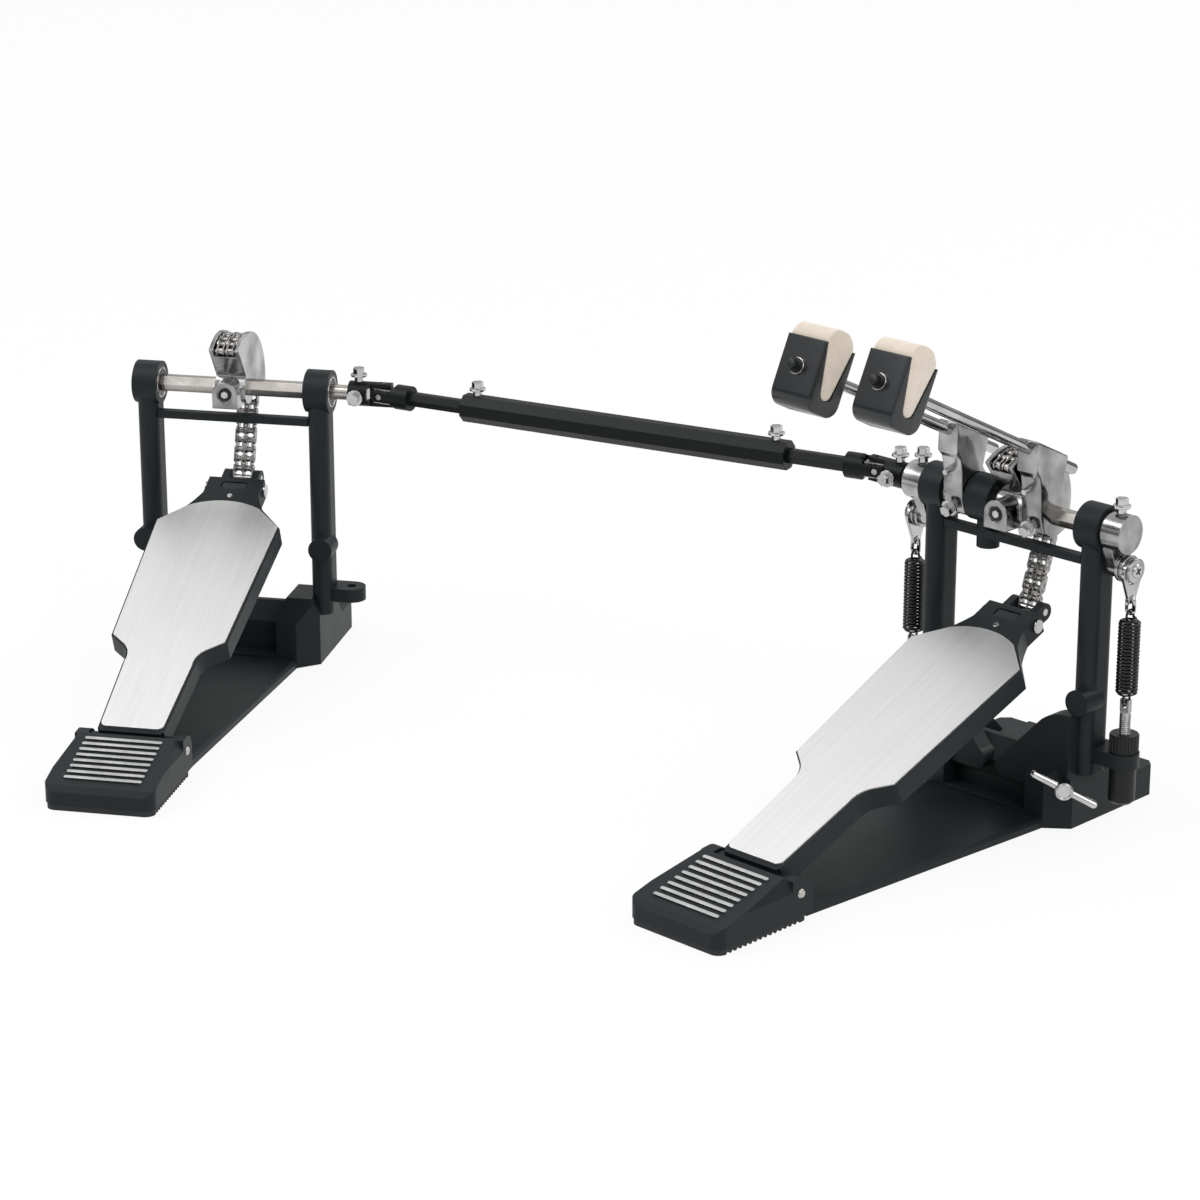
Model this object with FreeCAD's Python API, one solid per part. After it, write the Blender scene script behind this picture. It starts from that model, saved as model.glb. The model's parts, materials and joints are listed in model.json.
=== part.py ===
import FreeCAD, Part
import math
import os
from FreeCAD import Vector

# Double bass drum pedal: a main pedal, a left pedal turned out to the left, and a telescoping
# drive shaft with two universal joints between them.
# The frame is the main pedal's own: origin on the floor under the axle's centre, X along the axle
# to the player's right, Y towards the drum, Z up. Millimetres and degrees.

# Axle line and posts
AXLE_Z = 186.0
POST_X = 58.5
POST_WIDTH = 14.0
POST_DEPTH = 22.5
POST_SUNK = 12.0
HOUSING_X = 58.5
HOUSING_WIDTH = 16.5
HOUSING_RADIUS = 14.2
BEARING_RADIUS = 11.0
AXLE_HEX = 10.0
AXLE_RADIUS = 5.0
RUNNING_FIT = 0.05
SEAT_GAP = 0.3
PRESS_GAP = 0.02
CUT_PAST = 1.0
AXLE_SHORT = 3.0
AXLE_PROUD = 1.0

# Cross bar and centre bearing
BAR_BACK = -7.0
BAR_FRONT = -1.0
BAR_TOP = 168.4
BAR_HEIGHT = 5.2
CENTRE_X = -22.7
CENTRE_WIDTH = 17.6
CENTRE_RADIUS = 14.5
CENTRE_STEM_RADIUS = 7.0
CENTRE_STEM_DROP = 7.0

# Base plate and base casting
BASE_REAR_HALF = 31.0
BASE_MEET = -25.0
BASE_MEET_HALF = 45.0
BASE_THICK = 6.0
BASE_EDGE = 2.0
FOOT_INNER = 31.0
FOOT_OUTER = 58.5
FOOT_FRONT = 69.0
FOOT_CORNER = 11.0
FOOT_HEIGHT = 46.0
FOOT_FRONT_HEIGHT = 19.5
FOOT_SLOPE_START = 14.0
FOOT_SLOPE_END = 40.0
FOOT_BEVEL = 5.0
TONGUE_THICK = 8.0
TONGUE_END = 61.0
BRIDGE_REAR = -14.0
BRIDGE_FRONT = 4.0
BRIDGE_UNDER = 18.0
BRIDGE_TOP = 38.5
BRIDGE_SHOULDER = 28.0
BRIDGE_CREST = 0.0
BRIDGE_SLOPE = 4.0

# Rib beside each post of the main pedal, drawn in X and Z
RIB_REAR = -20.0
RIB_FRONT = -8.0
RIB_TOP = 72.5
RIB_DOME = (45.6, 71.0)
RIB_FLANK = (35.0, 63.5)
RIB_NOSE = (8.0, 34.5)
RIB_TIP = (4.2, 26.5)
RIB_TOE = (11.0, 22.0)

# Spring lugs and the boss low on each post
LEFT_LUG_X = 76.0
LUG_Y = 3.5
LUG_RADIUS = 9.5
LUG_LAP = 4.0
LUG_THICK = 9.0
LUG_BOTTOM = FOOT_HEIGHT - LUG_LAP
LUG_TOP = LUG_BOTTOM + LUG_THICK
BOSS_Z = 81.0
BOSS_RADIUS = 8.0
BOSS_PROUD = 6.0
BOSS_SHIFT = 2.0

# Heel plate, pad and hinge
HEEL_FRONT = -299.0
HEEL_REAR = -238.0
HEEL_HALF = 35.0
HEEL_FRONT_Z = 15.0
HEEL_REAR_Z = 30.0
HEEL_BEVEL = 5.0
HEEL_CORNER = 7.0
HEEL_EDGE = 3.0
HEEL_PAD_THICK = 4.0
HEEL_PAD_INSET = 0.8
PAD_REAR_INSET = 1.5
PAD_RIBS = 15
PAD_RIB_DEPTH = 1.6
HINGE_Y = -231.0
HINGE_Z = 18.0
HINGE_RADIUS = 2.5
EAR_INNER = 27.0
EAR_RADIUS = 9.5
PIN_HEAD_RADIUS = 4.2
PIN_HEAD = 1.6
BAR_COUNT = 8
BAR_FIRST = 11.0
BAR_STEP = 5.8
BAR_HALF = 24.5
BAR_WIDTH = 2.6
BAR_PROUD = 0.8
BAR_SUNK = 1.0

# Footboard, measured along the board (u) and square to it (v) from the heel hinge
BOARD_SLOPE = 21.8
PLATE_TOP = 13.5
PLATE_THICK = 1.5
PLATE_LOW = 3.0
PLATE_LOW_HALF = 20.0
PLATE_WAIST = 64.0
PLATE_WAIST_HALF = 22.0
PLATE_SHOULDER = 88.0
PLATE_SHOULDER_HALF = 37.0
PLATE_CORNER = 203.0
PLATE_CORNER_HALF = 41.0
PLATE_CROWN_SIDE = 220.0
PLATE_CROWN_HALF = 24.0
PLATE_CROWN = 226.5
PLATE_LOW_CORNER = 4.0
BOARD_RIM = 1.4
BOARD_DEPTH = 13.0
BOARD_WALL = 3.0
BOARD_SKIN = 3.5
KNUCKLE_HALF = 26.5
KNUCKLE_RADIUS = 8.0
NECK_ROOT = 6.0
NECK_SPREAD = 10.0
NECK_HOLLOW = 3.0
NECK_BEHIND = 9.5
NECK_HALF = 19.0
NECK_LENGTH = 16.5
NECK_SCREW_INSET = 5.0
NECK_SCREW_V = 6.5
NECK_SCREW_DEPTH = 5.0
TOE_BEHIND = 11.5
TOE_V = 3.2
TOE_RADIUS = 2.2
TOE_EYE = 5.5
FORK_INNER = 7.6
FORK_OUTER = 12.6
WINDOW_HALF = 9.0
WINDOW_INSET = 5.0
WINDOW_LENGTH = 7.5
WINDOW_DEPTH = 2.5
WINDOW_CORNER = 2.5

# Duplex roller chain
CHAIN_PITCH = 6.35
CHAIN_PLATE_RADIUS = 2.8
CHAIN_PIN_RADIUS = 1.6
CHAIN_HALF = 7.25
CHAIN_OUTER_PLATES = ((-6.9, -5.9), (5.9, 6.9))
CHAIN_MIDDLE_PLATE = ((-0.5, 0.5),)
CHAIN_INNER_PLATES = ((-5.6, -4.6), (-1.0, 1.0), (4.6, 5.6))
CHAIN_SHORT_HALF = 5.6
CHAIN_SHORT_PINS = 3
CHAIN_BEND_LINKS = 4
CHAIN_EYE_WALL = 1.2
CHAIN_PLATE_SIDES = 2

# Cam that carries the chain
CAM_CHAIN_RADIUS = 33.0
CAM_FLANGE_START = -12.0
CAM_SEAT_START = -4.0
CAM_LIP = 126.0
CAM_FLANGE_RADIUS = 36.6
CAM_FLANGE_THICK = 2.6
CAM_HUB_RADIUS = 11.0
CAM_BOSS_RADIUS = 8.4
CAM_BOSS_REACH = 23.0
CAM_BOSS_BOTTOM = 9.3
CAM_SCREW_SUNK = 1.5

# Beaters, in the plane of the rod: s along the rod from the axle, n from the axle to the felt
BEATER_LEAN = 63.7
LEFT_BEATER_LEAN = 64.4
BEATER_OFFSET = 30.5
ROD_RADIUS = 3.5
ROD_TAIL = -13.0
ROD_EDGE = 1.0
MAIN_HUB_X = 19.8
LEFT_HUB_X = -39.4
HUB_WIDTH = 14.6
HUB_RING = 27.0
HUB_BLOCK_START = 6.0
HUB_BLOCK_END = 40.0
HUB_BLOCK_UNDER = 17.5
HUB_BLOCK_OVER = 5.0
HUB_BLOCK_SLANT = 8.0
HUB_NECK_INSET = 2.0
HUB_BOLT_TURN = 45.0
HEAD_INNER = 159.5
HEAD_THICK = 29.0
HEAD_WIDTH = 29.0
HEAD_BACK = 7.5
HEAD_OPEN = 48.0
HEAD_CORNER = 9.0
CHEEK_TIP = 2.5
FELT_BOTTOM = 17.0
FELT_ROOT_RADIUS = 4.6
FELT_SIDE = 50.0
FELT_CROWN = 57.0
FELT_GAP = 0.3
FELT_INSET = 1.0
FELT_SKEW = 2.0
FELT_LEAD = 1.0
NUT_RADIUS = 5.0
NUT_SOCKET = 2.8
NUT_PROUD = 1.4

# Rockers, hangers and springs
ROCKER_START = 67.4
ROCKER_WIDTH = 14.0
ROCKER_RADIUS = 11.8
ROCKER_ARM_WIDTH = 7.0
ROCKER_PIN_Y = 3.5
ROCKER_PIN_DROP = 22.0
ROCKER_TIP_RADIUS = 6.5
PULLEY_RADIUS = 8.4
PULLEY_GROOVE = 6.6
PULLEY_WIDTH = 5.6
ROCKER_SCREW_RADIUS = 3.0
ROCKER_SCREW_HEAD = 7.4
ROCKER_SCREW_CAP = 2.0
ROCKER_END_WALL = 2.5
STRAP_THICK = 2.0
STRAP_HOLE = 6.0
STRAP_DROP = 2.7
STRAP_RADIUS = 9.4
STRAP_TAIL = 17.0
RING_WIRE = 1.1
RING_HALF_WIDTH = 3.6
RING_LENGTH = 10.0
RING_SEAT = 0.4
EYE_Z = 80.0
EYE_HALF = 1.6
EYE_HEIGHT = 8.0
EYE_ROD_RADIUS = 3.1
EYE_HOLE = 1.7
TENSION_FOOT = 18.0
KNURL_RADIUS = 8.4
KNURL_HEIGHT = 11.5
BARREL_RADIUS = 8.0
BARREL_HEIGHT = 23.0
BARREL_EDGE = 2.0
SPRING_RADIUS = 5.9
SPRING_WIRE = 0.75
SPRING_TURNS = 20
SPRING_BOTTOM = 89.5
SPRING_TOP = 133.5
SPRING_WIRE_SIDES = 3
HOOK_RADIUS = 3.4
SPRING_LEAST_GAP = 0.4

# Drive shaft and its universal joints
LEFT_TURN = 32.5
SHAFT_BEND = 16.0
SHAFT_SPAN = 355.0
JOINT_X = 109.0
LEFT_JOINT_X = 102.0
YOKE_RADIUS = 8.2
YOKE_SLOT = 10.4
YOKE_SLOT_DEPTH = 10.5
YOKE_TIP = 5.6
YOKE_EAR_HALF = 3.5
YOKE_TRIM = 8.5
AXLE_YOKE_LENGTH = 23.0
SHAFT_YOKE_LENGTH = 21.0
CROSS_BLOCK = 16.0
CROSS_PIN_RADIUS = 1.9
CROSS_PIN_INSET = 0.6
CROSS_OPEN_GAP = 0.6
SHAFT_ROD_HEX = 8.6
TUBE_ACROSS = 17.6
TUBE_BORE_GAP = 0.05
LEFT_ROD_SHOWN = 62.0
RIGHT_ROD_SHOWN = 61.0
RODS_APART = 52.0
SHAFT_BOLT_INSET = 9.0

# Bolts
BOLT_RADIUS = 2.6
BOLT_HEX = 6.6
BOLT_FLANGE = 5.2
BOLT_FLANGE_THICK = 1.4
BOLT_HEAD = 5.6
BOLT_SHANK = 3.6

# Hoop clamp
JAW_PIVOT_Y = 16.0
JAW_PIVOT_Z = 25.0
JAW_PIVOT_RADIUS = 3.0
JAW_PIVOT_REACH = 8.0
JAW_REAR = 8.0
JAW_UNDER = 22.0
JAW_TOP = 28.0
JAW_LIP = 58.0
JAW_TAPER = 2.0
JAW_SIDE_GAP = 0.6
JAW_PAD_THICK = 2.2
JAW_PAD_REAR = 28.0
JAW_PAD_INSET = 1.0
SCREW_TURN = 40.0
SCREW_BELOW = 15.0
SCREW_Z = FOOT_HEIGHT - SCREW_BELOW
SCREW_X = 53.0
SCREW_Y = -17.0
SCREW_RADIUS = 3.0
SCREW_INSIDE = 10.0
SCREW_OUTSIDE = 13.0
SCREW_HUB_RADIUS = 5.4
SCREW_HUB_LENGTH = 9.0
SCREW_HUB_LAP = 2.0
HANDLE_RADIUS = 2.4
HANDLE_HALF = 22.0
HANDLE_EDGE = 1.2
HANDLE_TILT = 27.0

# The base plate starts at the heel plate's ears
BASE_REAR = HINGE_Y + EAR_RADIUS

# The neck follows the foot plate's crown, and the toe pin follows the neck
NECK_WAIST = PLATE_CROWN + NECK_BEHIND
NECK_END = NECK_WAIST + NECK_LENGTH
NECK_SCREW_U = NECK_END - NECK_SCREW_INSET
WINDOW_START = NECK_WAIST + WINDOW_INSET
WINDOW_END = WINDOW_START + WINDOW_LENGTH
TOE_U = NECK_END + TOE_BEHIND

# The shaft's tube fills the span but for the rods that show, and keeps the rods apart inside it
TUBE_START = LEFT_ROD_SHOWN
TUBE_END = SHAFT_SPAN - RIGHT_ROD_SHOWN
ROD_IN_TUBE = (TUBE_END - TUBE_START - RODS_APART) / 2

# The spring hangs plumb under the strap on the rocker's screw
STRAP_X = ROCKER_START + ROCKER_ARM_WIDTH + PULLEY_WIDTH + SEAT_GAP
LUG_X = STRAP_X + STRAP_THICK / 2

X_AXIS = Vector(1, 0, 0)
Y_AXIS = Vector(0, 1, 0)
Z_AXIS = Vector(0, 0, 1)
AXLE_CENTRE = Vector(0, 0, AXLE_Z)
DIAGONAL = math.sqrt(0.5)


# Building blocks

def block(x0, x1, y0, y1, z0, z1):
    return Part.makeBox(x1 - x0, y1 - y0, z1 - z0, Vector(x0, y0, z0))


def bar_x(radius, x0, x1, y, z):
    return Part.makeCylinder(radius, x1 - x0, Vector(x0, y, z), X_AXIS)


def bar_y(radius, y0, y1, x, z):
    return Part.makeCylinder(radius, y1 - y0, Vector(x, y0, z), Y_AXIS)


def bar_z(radius, z0, z1, x, y):
    return Part.makeCylinder(radius, z1 - z0, Vector(x, y, z0), Z_AXIS)


def closed_face(plane, start, steps):
    """Face inside an outline: a step is a point, or a pair of points for an arc through the first."""
    edges = []
    here = plane(*start)
    for step in steps + (start,):
        if isinstance(step[0], tuple):
            through = plane(*step[0])
            there = plane(*step[1])
            edges.append(Part.Arc(here, through, there).toShape())
        else:
            there = plane(*step)
            if here.distanceToPoint(there) < 1e-6:
                continue
            edges.append(Part.LineSegment(here, there).toShape())
        here = there
    return Part.Face(Part.Wire(edges))


def side_prism(x0, x1, start, *steps):
    """Outline in Y and Z, drawn out along X."""
    face = closed_face(lambda y, z: Vector(x0, y, z), start, steps)
    return face.extrude(Vector(x1 - x0, 0, 0))


def plan_prism(z0, z1, start, *steps):
    """Outline in X and Y, drawn out along Z."""
    face = closed_face(lambda x, y: Vector(x, y, z0), start, steps)
    return face.extrude(Vector(0, 0, z1 - z0))


def front_prism(y0, y1, start, *steps):
    """Outline in X and Z, drawn out along Y."""
    face = closed_face(lambda x, z: Vector(x, y0, z), start, steps)
    return face.extrude(Vector(0, y1 - y0, 0))


def even_bar(sides, across, x0, x1):
    """Bar along X through the origin with an even number of flats, two of them level."""
    radius = across / 2 / math.cos(math.pi / sides)
    step = 2 * math.pi / sides
    corners = []
    for i in range(sides):
        angle = step * (i + 0.5) + math.pi / 2
        corners.append((radius * math.cos(angle), radius * math.sin(angle)))
    return side_prism(x0, x1, corners[0], *corners[1:])


def round_edges(shape, radius, direction):
    """Fillet of every straight edge that runs along a direction."""
    chosen = []
    for edge in shape.Edges:
        if isinstance(edge.Curve, Part.Line) and edge.Curve.Direction.cross(direction).Length < 1e-6:
            chosen.append(edge)
    return shape.makeFillet(radius, chosen)


def mirror_x(shape):
    return shape.mirror(Vector(0, 0, 0), X_AXIS)


def at_axle(shape):
    return shape.translated(AXLE_CENTRE)


def leaned(shape, lean):
    """From the striking pose, with the rod upright, back to the rest pose on the axle."""
    return at_axle(shape.rotated(Vector(0, 0, 0), X_AXIS, lean))


def on_board(shape):
    """From board coordinates (X, u, v) to the pedal's frame."""
    turned = shape.rotated(Vector(0, 0, 0), X_AXIS, BOARD_SLOPE)
    return turned.translated(Vector(0, HINGE_Y, HINGE_Z))


def board_point(u, v):
    slope = math.radians(BOARD_SLOPE)
    y = HINGE_Y + u * math.cos(slope) - v * math.sin(slope)
    z = HINGE_Z + u * math.sin(slope) + v * math.cos(slope)
    return y, z


def flange_bolt(length):
    """Hex bolt along Z: shank below the origin, flange and head above it."""
    shank = even_bar(6, 2 * BOLT_RADIUS, -length, 0)
    flange = even_bar(12, 2 * BOLT_FLANGE, 0, BOLT_FLANGE_THICK)
    head = even_bar(6, BOLT_HEX, BOLT_FLANGE_THICK, BOLT_HEAD)
    bolt = shank.fuse([flange, head]).removeSplitter()
    return bolt.rotated(Vector(0, 0, 0), Y_AXIS, -90)


def socket_screw(radius, length, socket):
    """Round-headed screw along Z with a blind socket, its face at the origin."""
    return bar_z(radius, -length, 0, 0, 0).cut(bar_z(socket, -length / 2, 0, 0, 0))


# Frame of a pedal

def make_base_plate():
    rear = BASE_REAR_HALF
    meet = BASE_MEET_HALF
    plate = plan_prism(0, BASE_THICK, (-rear, BASE_REAR), (rear, BASE_REAR),
                       (meet, BASE_MEET), (-meet, BASE_MEET))
    upper = [edge for edge in plate.Edges
             if edge.BoundBox.ZMin > BASE_THICK - 0.1 and edge.BoundBox.YLength > 1]
    return plate.makeChamfer(BASE_EDGE, upper)


def make_foot():
    """Right foot: a faceted block, lower towards the drum."""
    rear = BASE_MEET
    plan = plan_prism(0, FOOT_HEIGHT, (FOOT_INNER, rear), (BASE_MEET_HALF, rear),
                      (FOOT_OUTER, rear + FOOT_CORNER), (FOOT_OUTER, FOOT_FRONT - FOOT_BEVEL),
                      (FOOT_OUTER - FOOT_BEVEL, FOOT_FRONT), (FOOT_INNER, FOOT_FRONT))
    side = side_prism(FOOT_INNER, FOOT_OUTER, (rear, 0), (rear, FOOT_HEIGHT - 3 * FOOT_BEVEL),
                      (rear + 2 * FOOT_BEVEL, FOOT_HEIGHT), (FOOT_SLOPE_START, FOOT_HEIGHT),
                      (FOOT_SLOPE_END, FOOT_FRONT_HEIGHT), (FOOT_FRONT, FOOT_FRONT_HEIGHT),
                      (FOOT_FRONT, 0))
    shoulder = FOOT_HEIGHT - 2 * FOOT_BEVEL
    across = front_prism(rear, FOOT_FRONT, (FOOT_INNER, 0), (FOOT_OUTER, 0), (FOOT_OUTER, shoulder),
                         (FOOT_OUTER - FOOT_BEVEL, FOOT_HEIGHT), (FOOT_INNER + FOOT_BEVEL, FOOT_HEIGHT),
                         (FOOT_INNER, shoulder))
    return plan.common(side).common(across)


def make_lug(x):
    """Arm from a foot out to the rod of a spring's tensioner."""
    arm = block(POST_X - FOOT_BEVEL, x, LUG_Y - LUG_RADIUS, LUG_Y + LUG_RADIUS, LUG_BOTTOM, LUG_TOP)
    return arm.fuse(bar_z(LUG_RADIUS, LUG_BOTTOM, LUG_TOP, x, LUG_Y))


def make_rib():
    """Domed rib that braces the right post of the main pedal and covers the clamp's linkage."""
    return front_prism(RIB_REAR, RIB_FRONT, (POST_X, RIB_TOE[1]), (POST_X, RIB_TOP), (RIB_DOME, RIB_FLANK),
                       RIB_NOSE, (RIB_TIP, RIB_TOE))


def make_base_casting(lugs, ribs):
    """Two feet with lugs, the tongue under the drum's hoop, and the bridge between the feet."""
    foot = make_foot()
    tongue = block(-FOOT_INNER, FOOT_INNER, BASE_MEET, TONGUE_END, 0, TONGUE_THICK)
    bridge = side_prism(-FOOT_INNER, FOOT_INNER, (BRIDGE_REAR, BRIDGE_UNDER),
                        (BRIDGE_REAR + 2 * BRIDGE_SLOPE, BRIDGE_UNDER),
                        (BRIDGE_FRONT, BRIDGE_TOP - 2 * BRIDGE_SLOPE), (BRIDGE_FRONT, BRIDGE_TOP),
                        (BRIDGE_CREST, BRIDGE_TOP), (BRIDGE_REAR, BRIDGE_SHOULDER))
    pieces = [foot, mirror_x(foot), bridge] + lugs + ribs
    casting = tongue.fuse(pieces).removeSplitter()
    reach = FOOT_INNER + JAW_PIVOT_REACH + CUT_PAST
    pivot = bar_x(JAW_PIVOT_RADIUS + RUNNING_FIT, -reach, reach, JAW_PIVOT_Y, JAW_PIVOT_Z)
    return casting.cut([pivot, post_columns()])


def make_screw_bore():
    direction = Vector(math.sin(math.radians(SCREW_TURN)), -math.cos(math.radians(SCREW_TURN)), 0)
    start = Vector(SCREW_X, SCREW_Y, SCREW_Z) - direction * (SCREW_INSIDE + SEAT_GAP)
    return Part.makeCylinder(SCREW_RADIUS + RUNNING_FIT, SCREW_INSIDE + SCREW_OUTSIDE, start, direction)


def make_column():
    """Oval column of the right post, let into the foot."""
    half = POST_WIDTH / 2
    reach = (POST_DEPTH - POST_WIDTH) / 2
    return plan_prism(FOOT_HEIGHT - POST_SUNK, AXLE_Z, (POST_X - half, -reach),
                      ((POST_X, -POST_DEPTH / 2), (POST_X + half, -reach)), (POST_X + half, reach),
                      ((POST_X, POST_DEPTH / 2), (POST_X - half, reach)))


def post_columns():
    column = make_column()
    return column.fuse(mirror_x(column))


def make_post():
    """Right post: oval column, bearing housing and low boss."""
    start = HOUSING_X - HOUSING_WIDTH / 2
    housing = bar_x(HOUSING_RADIUS, start, start + HOUSING_WIDTH, 0, AXLE_Z)
    boss = bar_y(BOSS_RADIUS, -POST_DEPTH / 2 - BOSS_PROUD, 0, POST_X + BOSS_SHIFT, BOSS_Z)
    post = make_column().fuse([housing, boss]).removeSplitter()
    seat = bar_x(BEARING_RADIUS, HOUSING_X - HOUSING_WIDTH, HOUSING_X + HOUSING_WIDTH, 0, AXLE_Z)
    return post.cut(seat)


def make_crossbar():
    half = POST_X - POST_WIDTH / 2
    return block(-half, half, BAR_BACK, BAR_FRONT, BAR_TOP - BAR_HEIGHT, BAR_TOP)


def make_centre_bearing():
    """Housing hung on the cross bar where the two axles of the main pedal meet."""
    start = CENTRE_X - CENTRE_WIDTH / 2
    housing = bar_x(CENTRE_RADIUS, start, start + CENTRE_WIDTH, 0, AXLE_Z)
    stem = bar_z(CENTRE_STEM_RADIUS, BAR_TOP - BAR_HEIGHT - CENTRE_STEM_DROP, AXLE_Z, CENTRE_X, 0)
    bearing = housing.fuse(stem).removeSplitter()
    bearing = bearing.cut(make_crossbar())
    return bearing.cut(bar_x(BEARING_RADIUS, start, start + CENTRE_WIDTH, 0, AXLE_Z))


def bearing_ring(x0, x1):
    outer = bar_x(BEARING_RADIUS - PRESS_GAP, x0, x1, 0, AXLE_Z)
    return outer.cut(bar_x(AXLE_RADIUS + RUNNING_FIT, x0, x1, 0, AXLE_Z))


def post_bearing():
    return bearing_ring(HOUSING_X - HOUSING_WIDTH / 2, HOUSING_X + HOUSING_WIDTH / 2)


def heel_top(y):
    """Height of the heel plate's sloping top."""
    return HEEL_FRONT_Z + (y - HEEL_FRONT) * (HEEL_REAR_Z - HEEL_FRONT_Z) / (HEEL_REAR - HEEL_FRONT)


def make_heel_plate():
    """Wedge with bevelled sides, two hinge ears behind it and grip ribs across its top."""
    low = HEEL_FRONT + HEEL_EDGE
    high = HEEL_REAR - HEEL_EDGE
    side = side_prism(-HEEL_HALF, HEEL_HALF, (HEEL_FRONT, HEEL_PAD_THICK),
                      (HEEL_FRONT, HEEL_FRONT_Z - HEEL_EDGE), (low, heel_top(low)), (high, heel_top(high)),
                      (HEEL_REAR, HEEL_REAR_Z - HEEL_EDGE), (HEEL_REAR, HEEL_PAD_THICK))
    over = HEEL_REAR_Z + CUT_PAST
    shoulder = HEEL_REAR_Z - 2 * HEEL_BEVEL
    flat = HEEL_HALF - HEEL_BEVEL
    across = front_prism(HEEL_FRONT, HEEL_REAR, (-HEEL_HALF, 0), (HEEL_HALF, 0), (HEEL_HALF, shoulder),
                         (flat, over), (-flat, over), (-HEEL_HALF, shoulder))
    plan = block(-HEEL_HALF, HEEL_HALF, HEEL_FRONT, HEEL_REAR + 2 * HEEL_CORNER, 0, over)
    plan = round_edges(plan, HEEL_CORNER, Z_AXIS)
    wedge = side.common(across).common(plan)
    bend = EAR_RADIUS * DIAGONAL
    ear = side_prism(EAR_INNER, HEEL_HALF, (HEEL_REAR, HEEL_PAD_THICK), (HEEL_REAR, HEEL_REAR_Z - HEEL_EDGE),
                     (HINGE_Y, HINGE_Z + EAR_RADIUS),
                     ((HINGE_Y + bend, HINGE_Z + bend), (HINGE_Y + EAR_RADIUS, HINGE_Z)),
                     (HINGE_Y + EAR_RADIUS, HEEL_PAD_THICK))
    heel = wedge.fuse([ear, mirror_x(ear)]).removeSplitter()
    heel = heel.cut(bar_x(HINGE_RADIUS + PRESS_GAP, -HEEL_HALF, HEEL_HALF, HINGE_Y, HINGE_Z))
    heel = heel.cut(bar_x(KNUCKLE_RADIUS + SEAT_GAP, -EAR_INNER, EAR_INNER, HINGE_Y, HINGE_Z))
    return heel.fuse(make_grip_ribs()).removeSplitter()


def make_grip_ribs():
    """Row of ribs with pointed ends that stand out of the heel plate's top."""
    slope = math.degrees(math.atan2(HEEL_REAR_Z - HEEL_FRONT_Z, HEEL_REAR - HEEL_FRONT))
    half = BAR_WIDTH / 2
    straight = BAR_HALF - half
    bars = []
    for i in range(BAR_COUNT):
        y = HEEL_FRONT + BAR_FIRST + i * BAR_STEP
        bar = plan_prism(-BAR_SUNK, BAR_PROUD, (-straight, -half), (straight, -half), (BAR_HALF, 0),
                         (straight, half), (-straight, half), (-BAR_HALF, 0))
        bar = bar.rotated(Vector(0, 0, 0), X_AXIS, slope)
        bars.append(bar.translated(Vector(0, y, heel_top(y))))
    return bars


def make_heel_pad():
    """Rubber sole with cross ribs."""
    rear = HINGE_Y + EAR_RADIUS - PAD_REAR_INSET
    step = (rear - HEEL_FRONT - 2 * HEEL_CORNER) / PAD_RIBS
    steps = [(HEEL_FRONT + HEEL_PAD_INSET, HEEL_PAD_THICK), (HEEL_FRONT + HEEL_PAD_INSET, 0)]
    for i in range(PAD_RIBS):
        y = HEEL_FRONT + HEEL_CORNER + i * step
        side = step / 4
        steps += [(y, 0), (y + side, PAD_RIB_DEPTH), (y + 2 * side, PAD_RIB_DEPTH), (y + 3 * side, 0)]
    steps += [(rear, 0), (rear, HEEL_PAD_THICK)]
    half = HEEL_HALF - HEEL_PAD_INSET
    pad = side_prism(-half, half, steps[0], *steps[1:])
    plan = block(-half, half, HEEL_FRONT + HEEL_PAD_INSET, rear, 0, HEEL_PAD_THICK)
    return pad.common(round_edges(plan, HEEL_CORNER - HEEL_PAD_INSET, Z_AXIS))


def make_heel_pin():
    """Hinge pin held by a screw head at each end."""
    pin = bar_x(HINGE_RADIUS, -HEEL_HALF, HEEL_HALF, HINGE_Y, HINGE_Z)
    head = bar_x(PIN_HEAD_RADIUS, HEEL_HALF, HEEL_HALF + PIN_HEAD, HINGE_Y, HINGE_Z)
    return pin.fuse([head, mirror_x(head)]).removeSplitter()


# Footboard

def plate_steps(rim):
    """Outline of the foot plate in X and u, grown by a rim; the right half and then the left."""
    low = (PLATE_LOW_HALF + rim, PLATE_LOW - rim)
    waist = (PLATE_WAIST_HALF + rim, PLATE_WAIST)
    shoulder = (PLATE_SHOULDER_HALF + rim, PLATE_SHOULDER)
    corner = (PLATE_CORNER_HALF + rim, PLATE_CORNER)
    side = (PLATE_CROWN_HALF + rim, PLATE_CROWN_SIDE + rim)
    crown = (0, PLATE_CROWN + rim)
    rise = PLATE_SHOULDER - PLATE_WAIST
    spread = PLATE_SHOULDER_HALF - PLATE_WAIST_HALF
    hollow = (waist[0] + spread * 0.08, waist[1] + rise * 0.40)
    turn = (waist[0] + spread * 0.40, waist[1] + rise * 0.68)
    right = [low, waist, (hollow, turn), shoulder, corner, side]
    left_side = (-side[0], side[1])
    steps = right + [(crown, left_side), (-corner[0], corner[1]), (-shoulder[0], shoulder[1]),
                     (-turn[0], turn[1]), ((-hollow[0], hollow[1]), (-waist[0], waist[1])),
                     (-low[0], low[1])]
    return steps


def make_foot_plate():
    """Brushed sheet on top of the footboard."""
    steps = plate_steps(0.0)
    plate = plan_prism(PLATE_TOP - PLATE_THICK, PLATE_TOP, steps[0], *steps[1:])
    corners = [edge for edge in plate.Edges
               if edge.BoundBox.ZLength > PLATE_THICK / 2 and edge.BoundBox.YMax < PLATE_LOW + CUT_PAST]
    return on_board(plate.makeFillet(PLATE_LOW_CORNER, corners))


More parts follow.
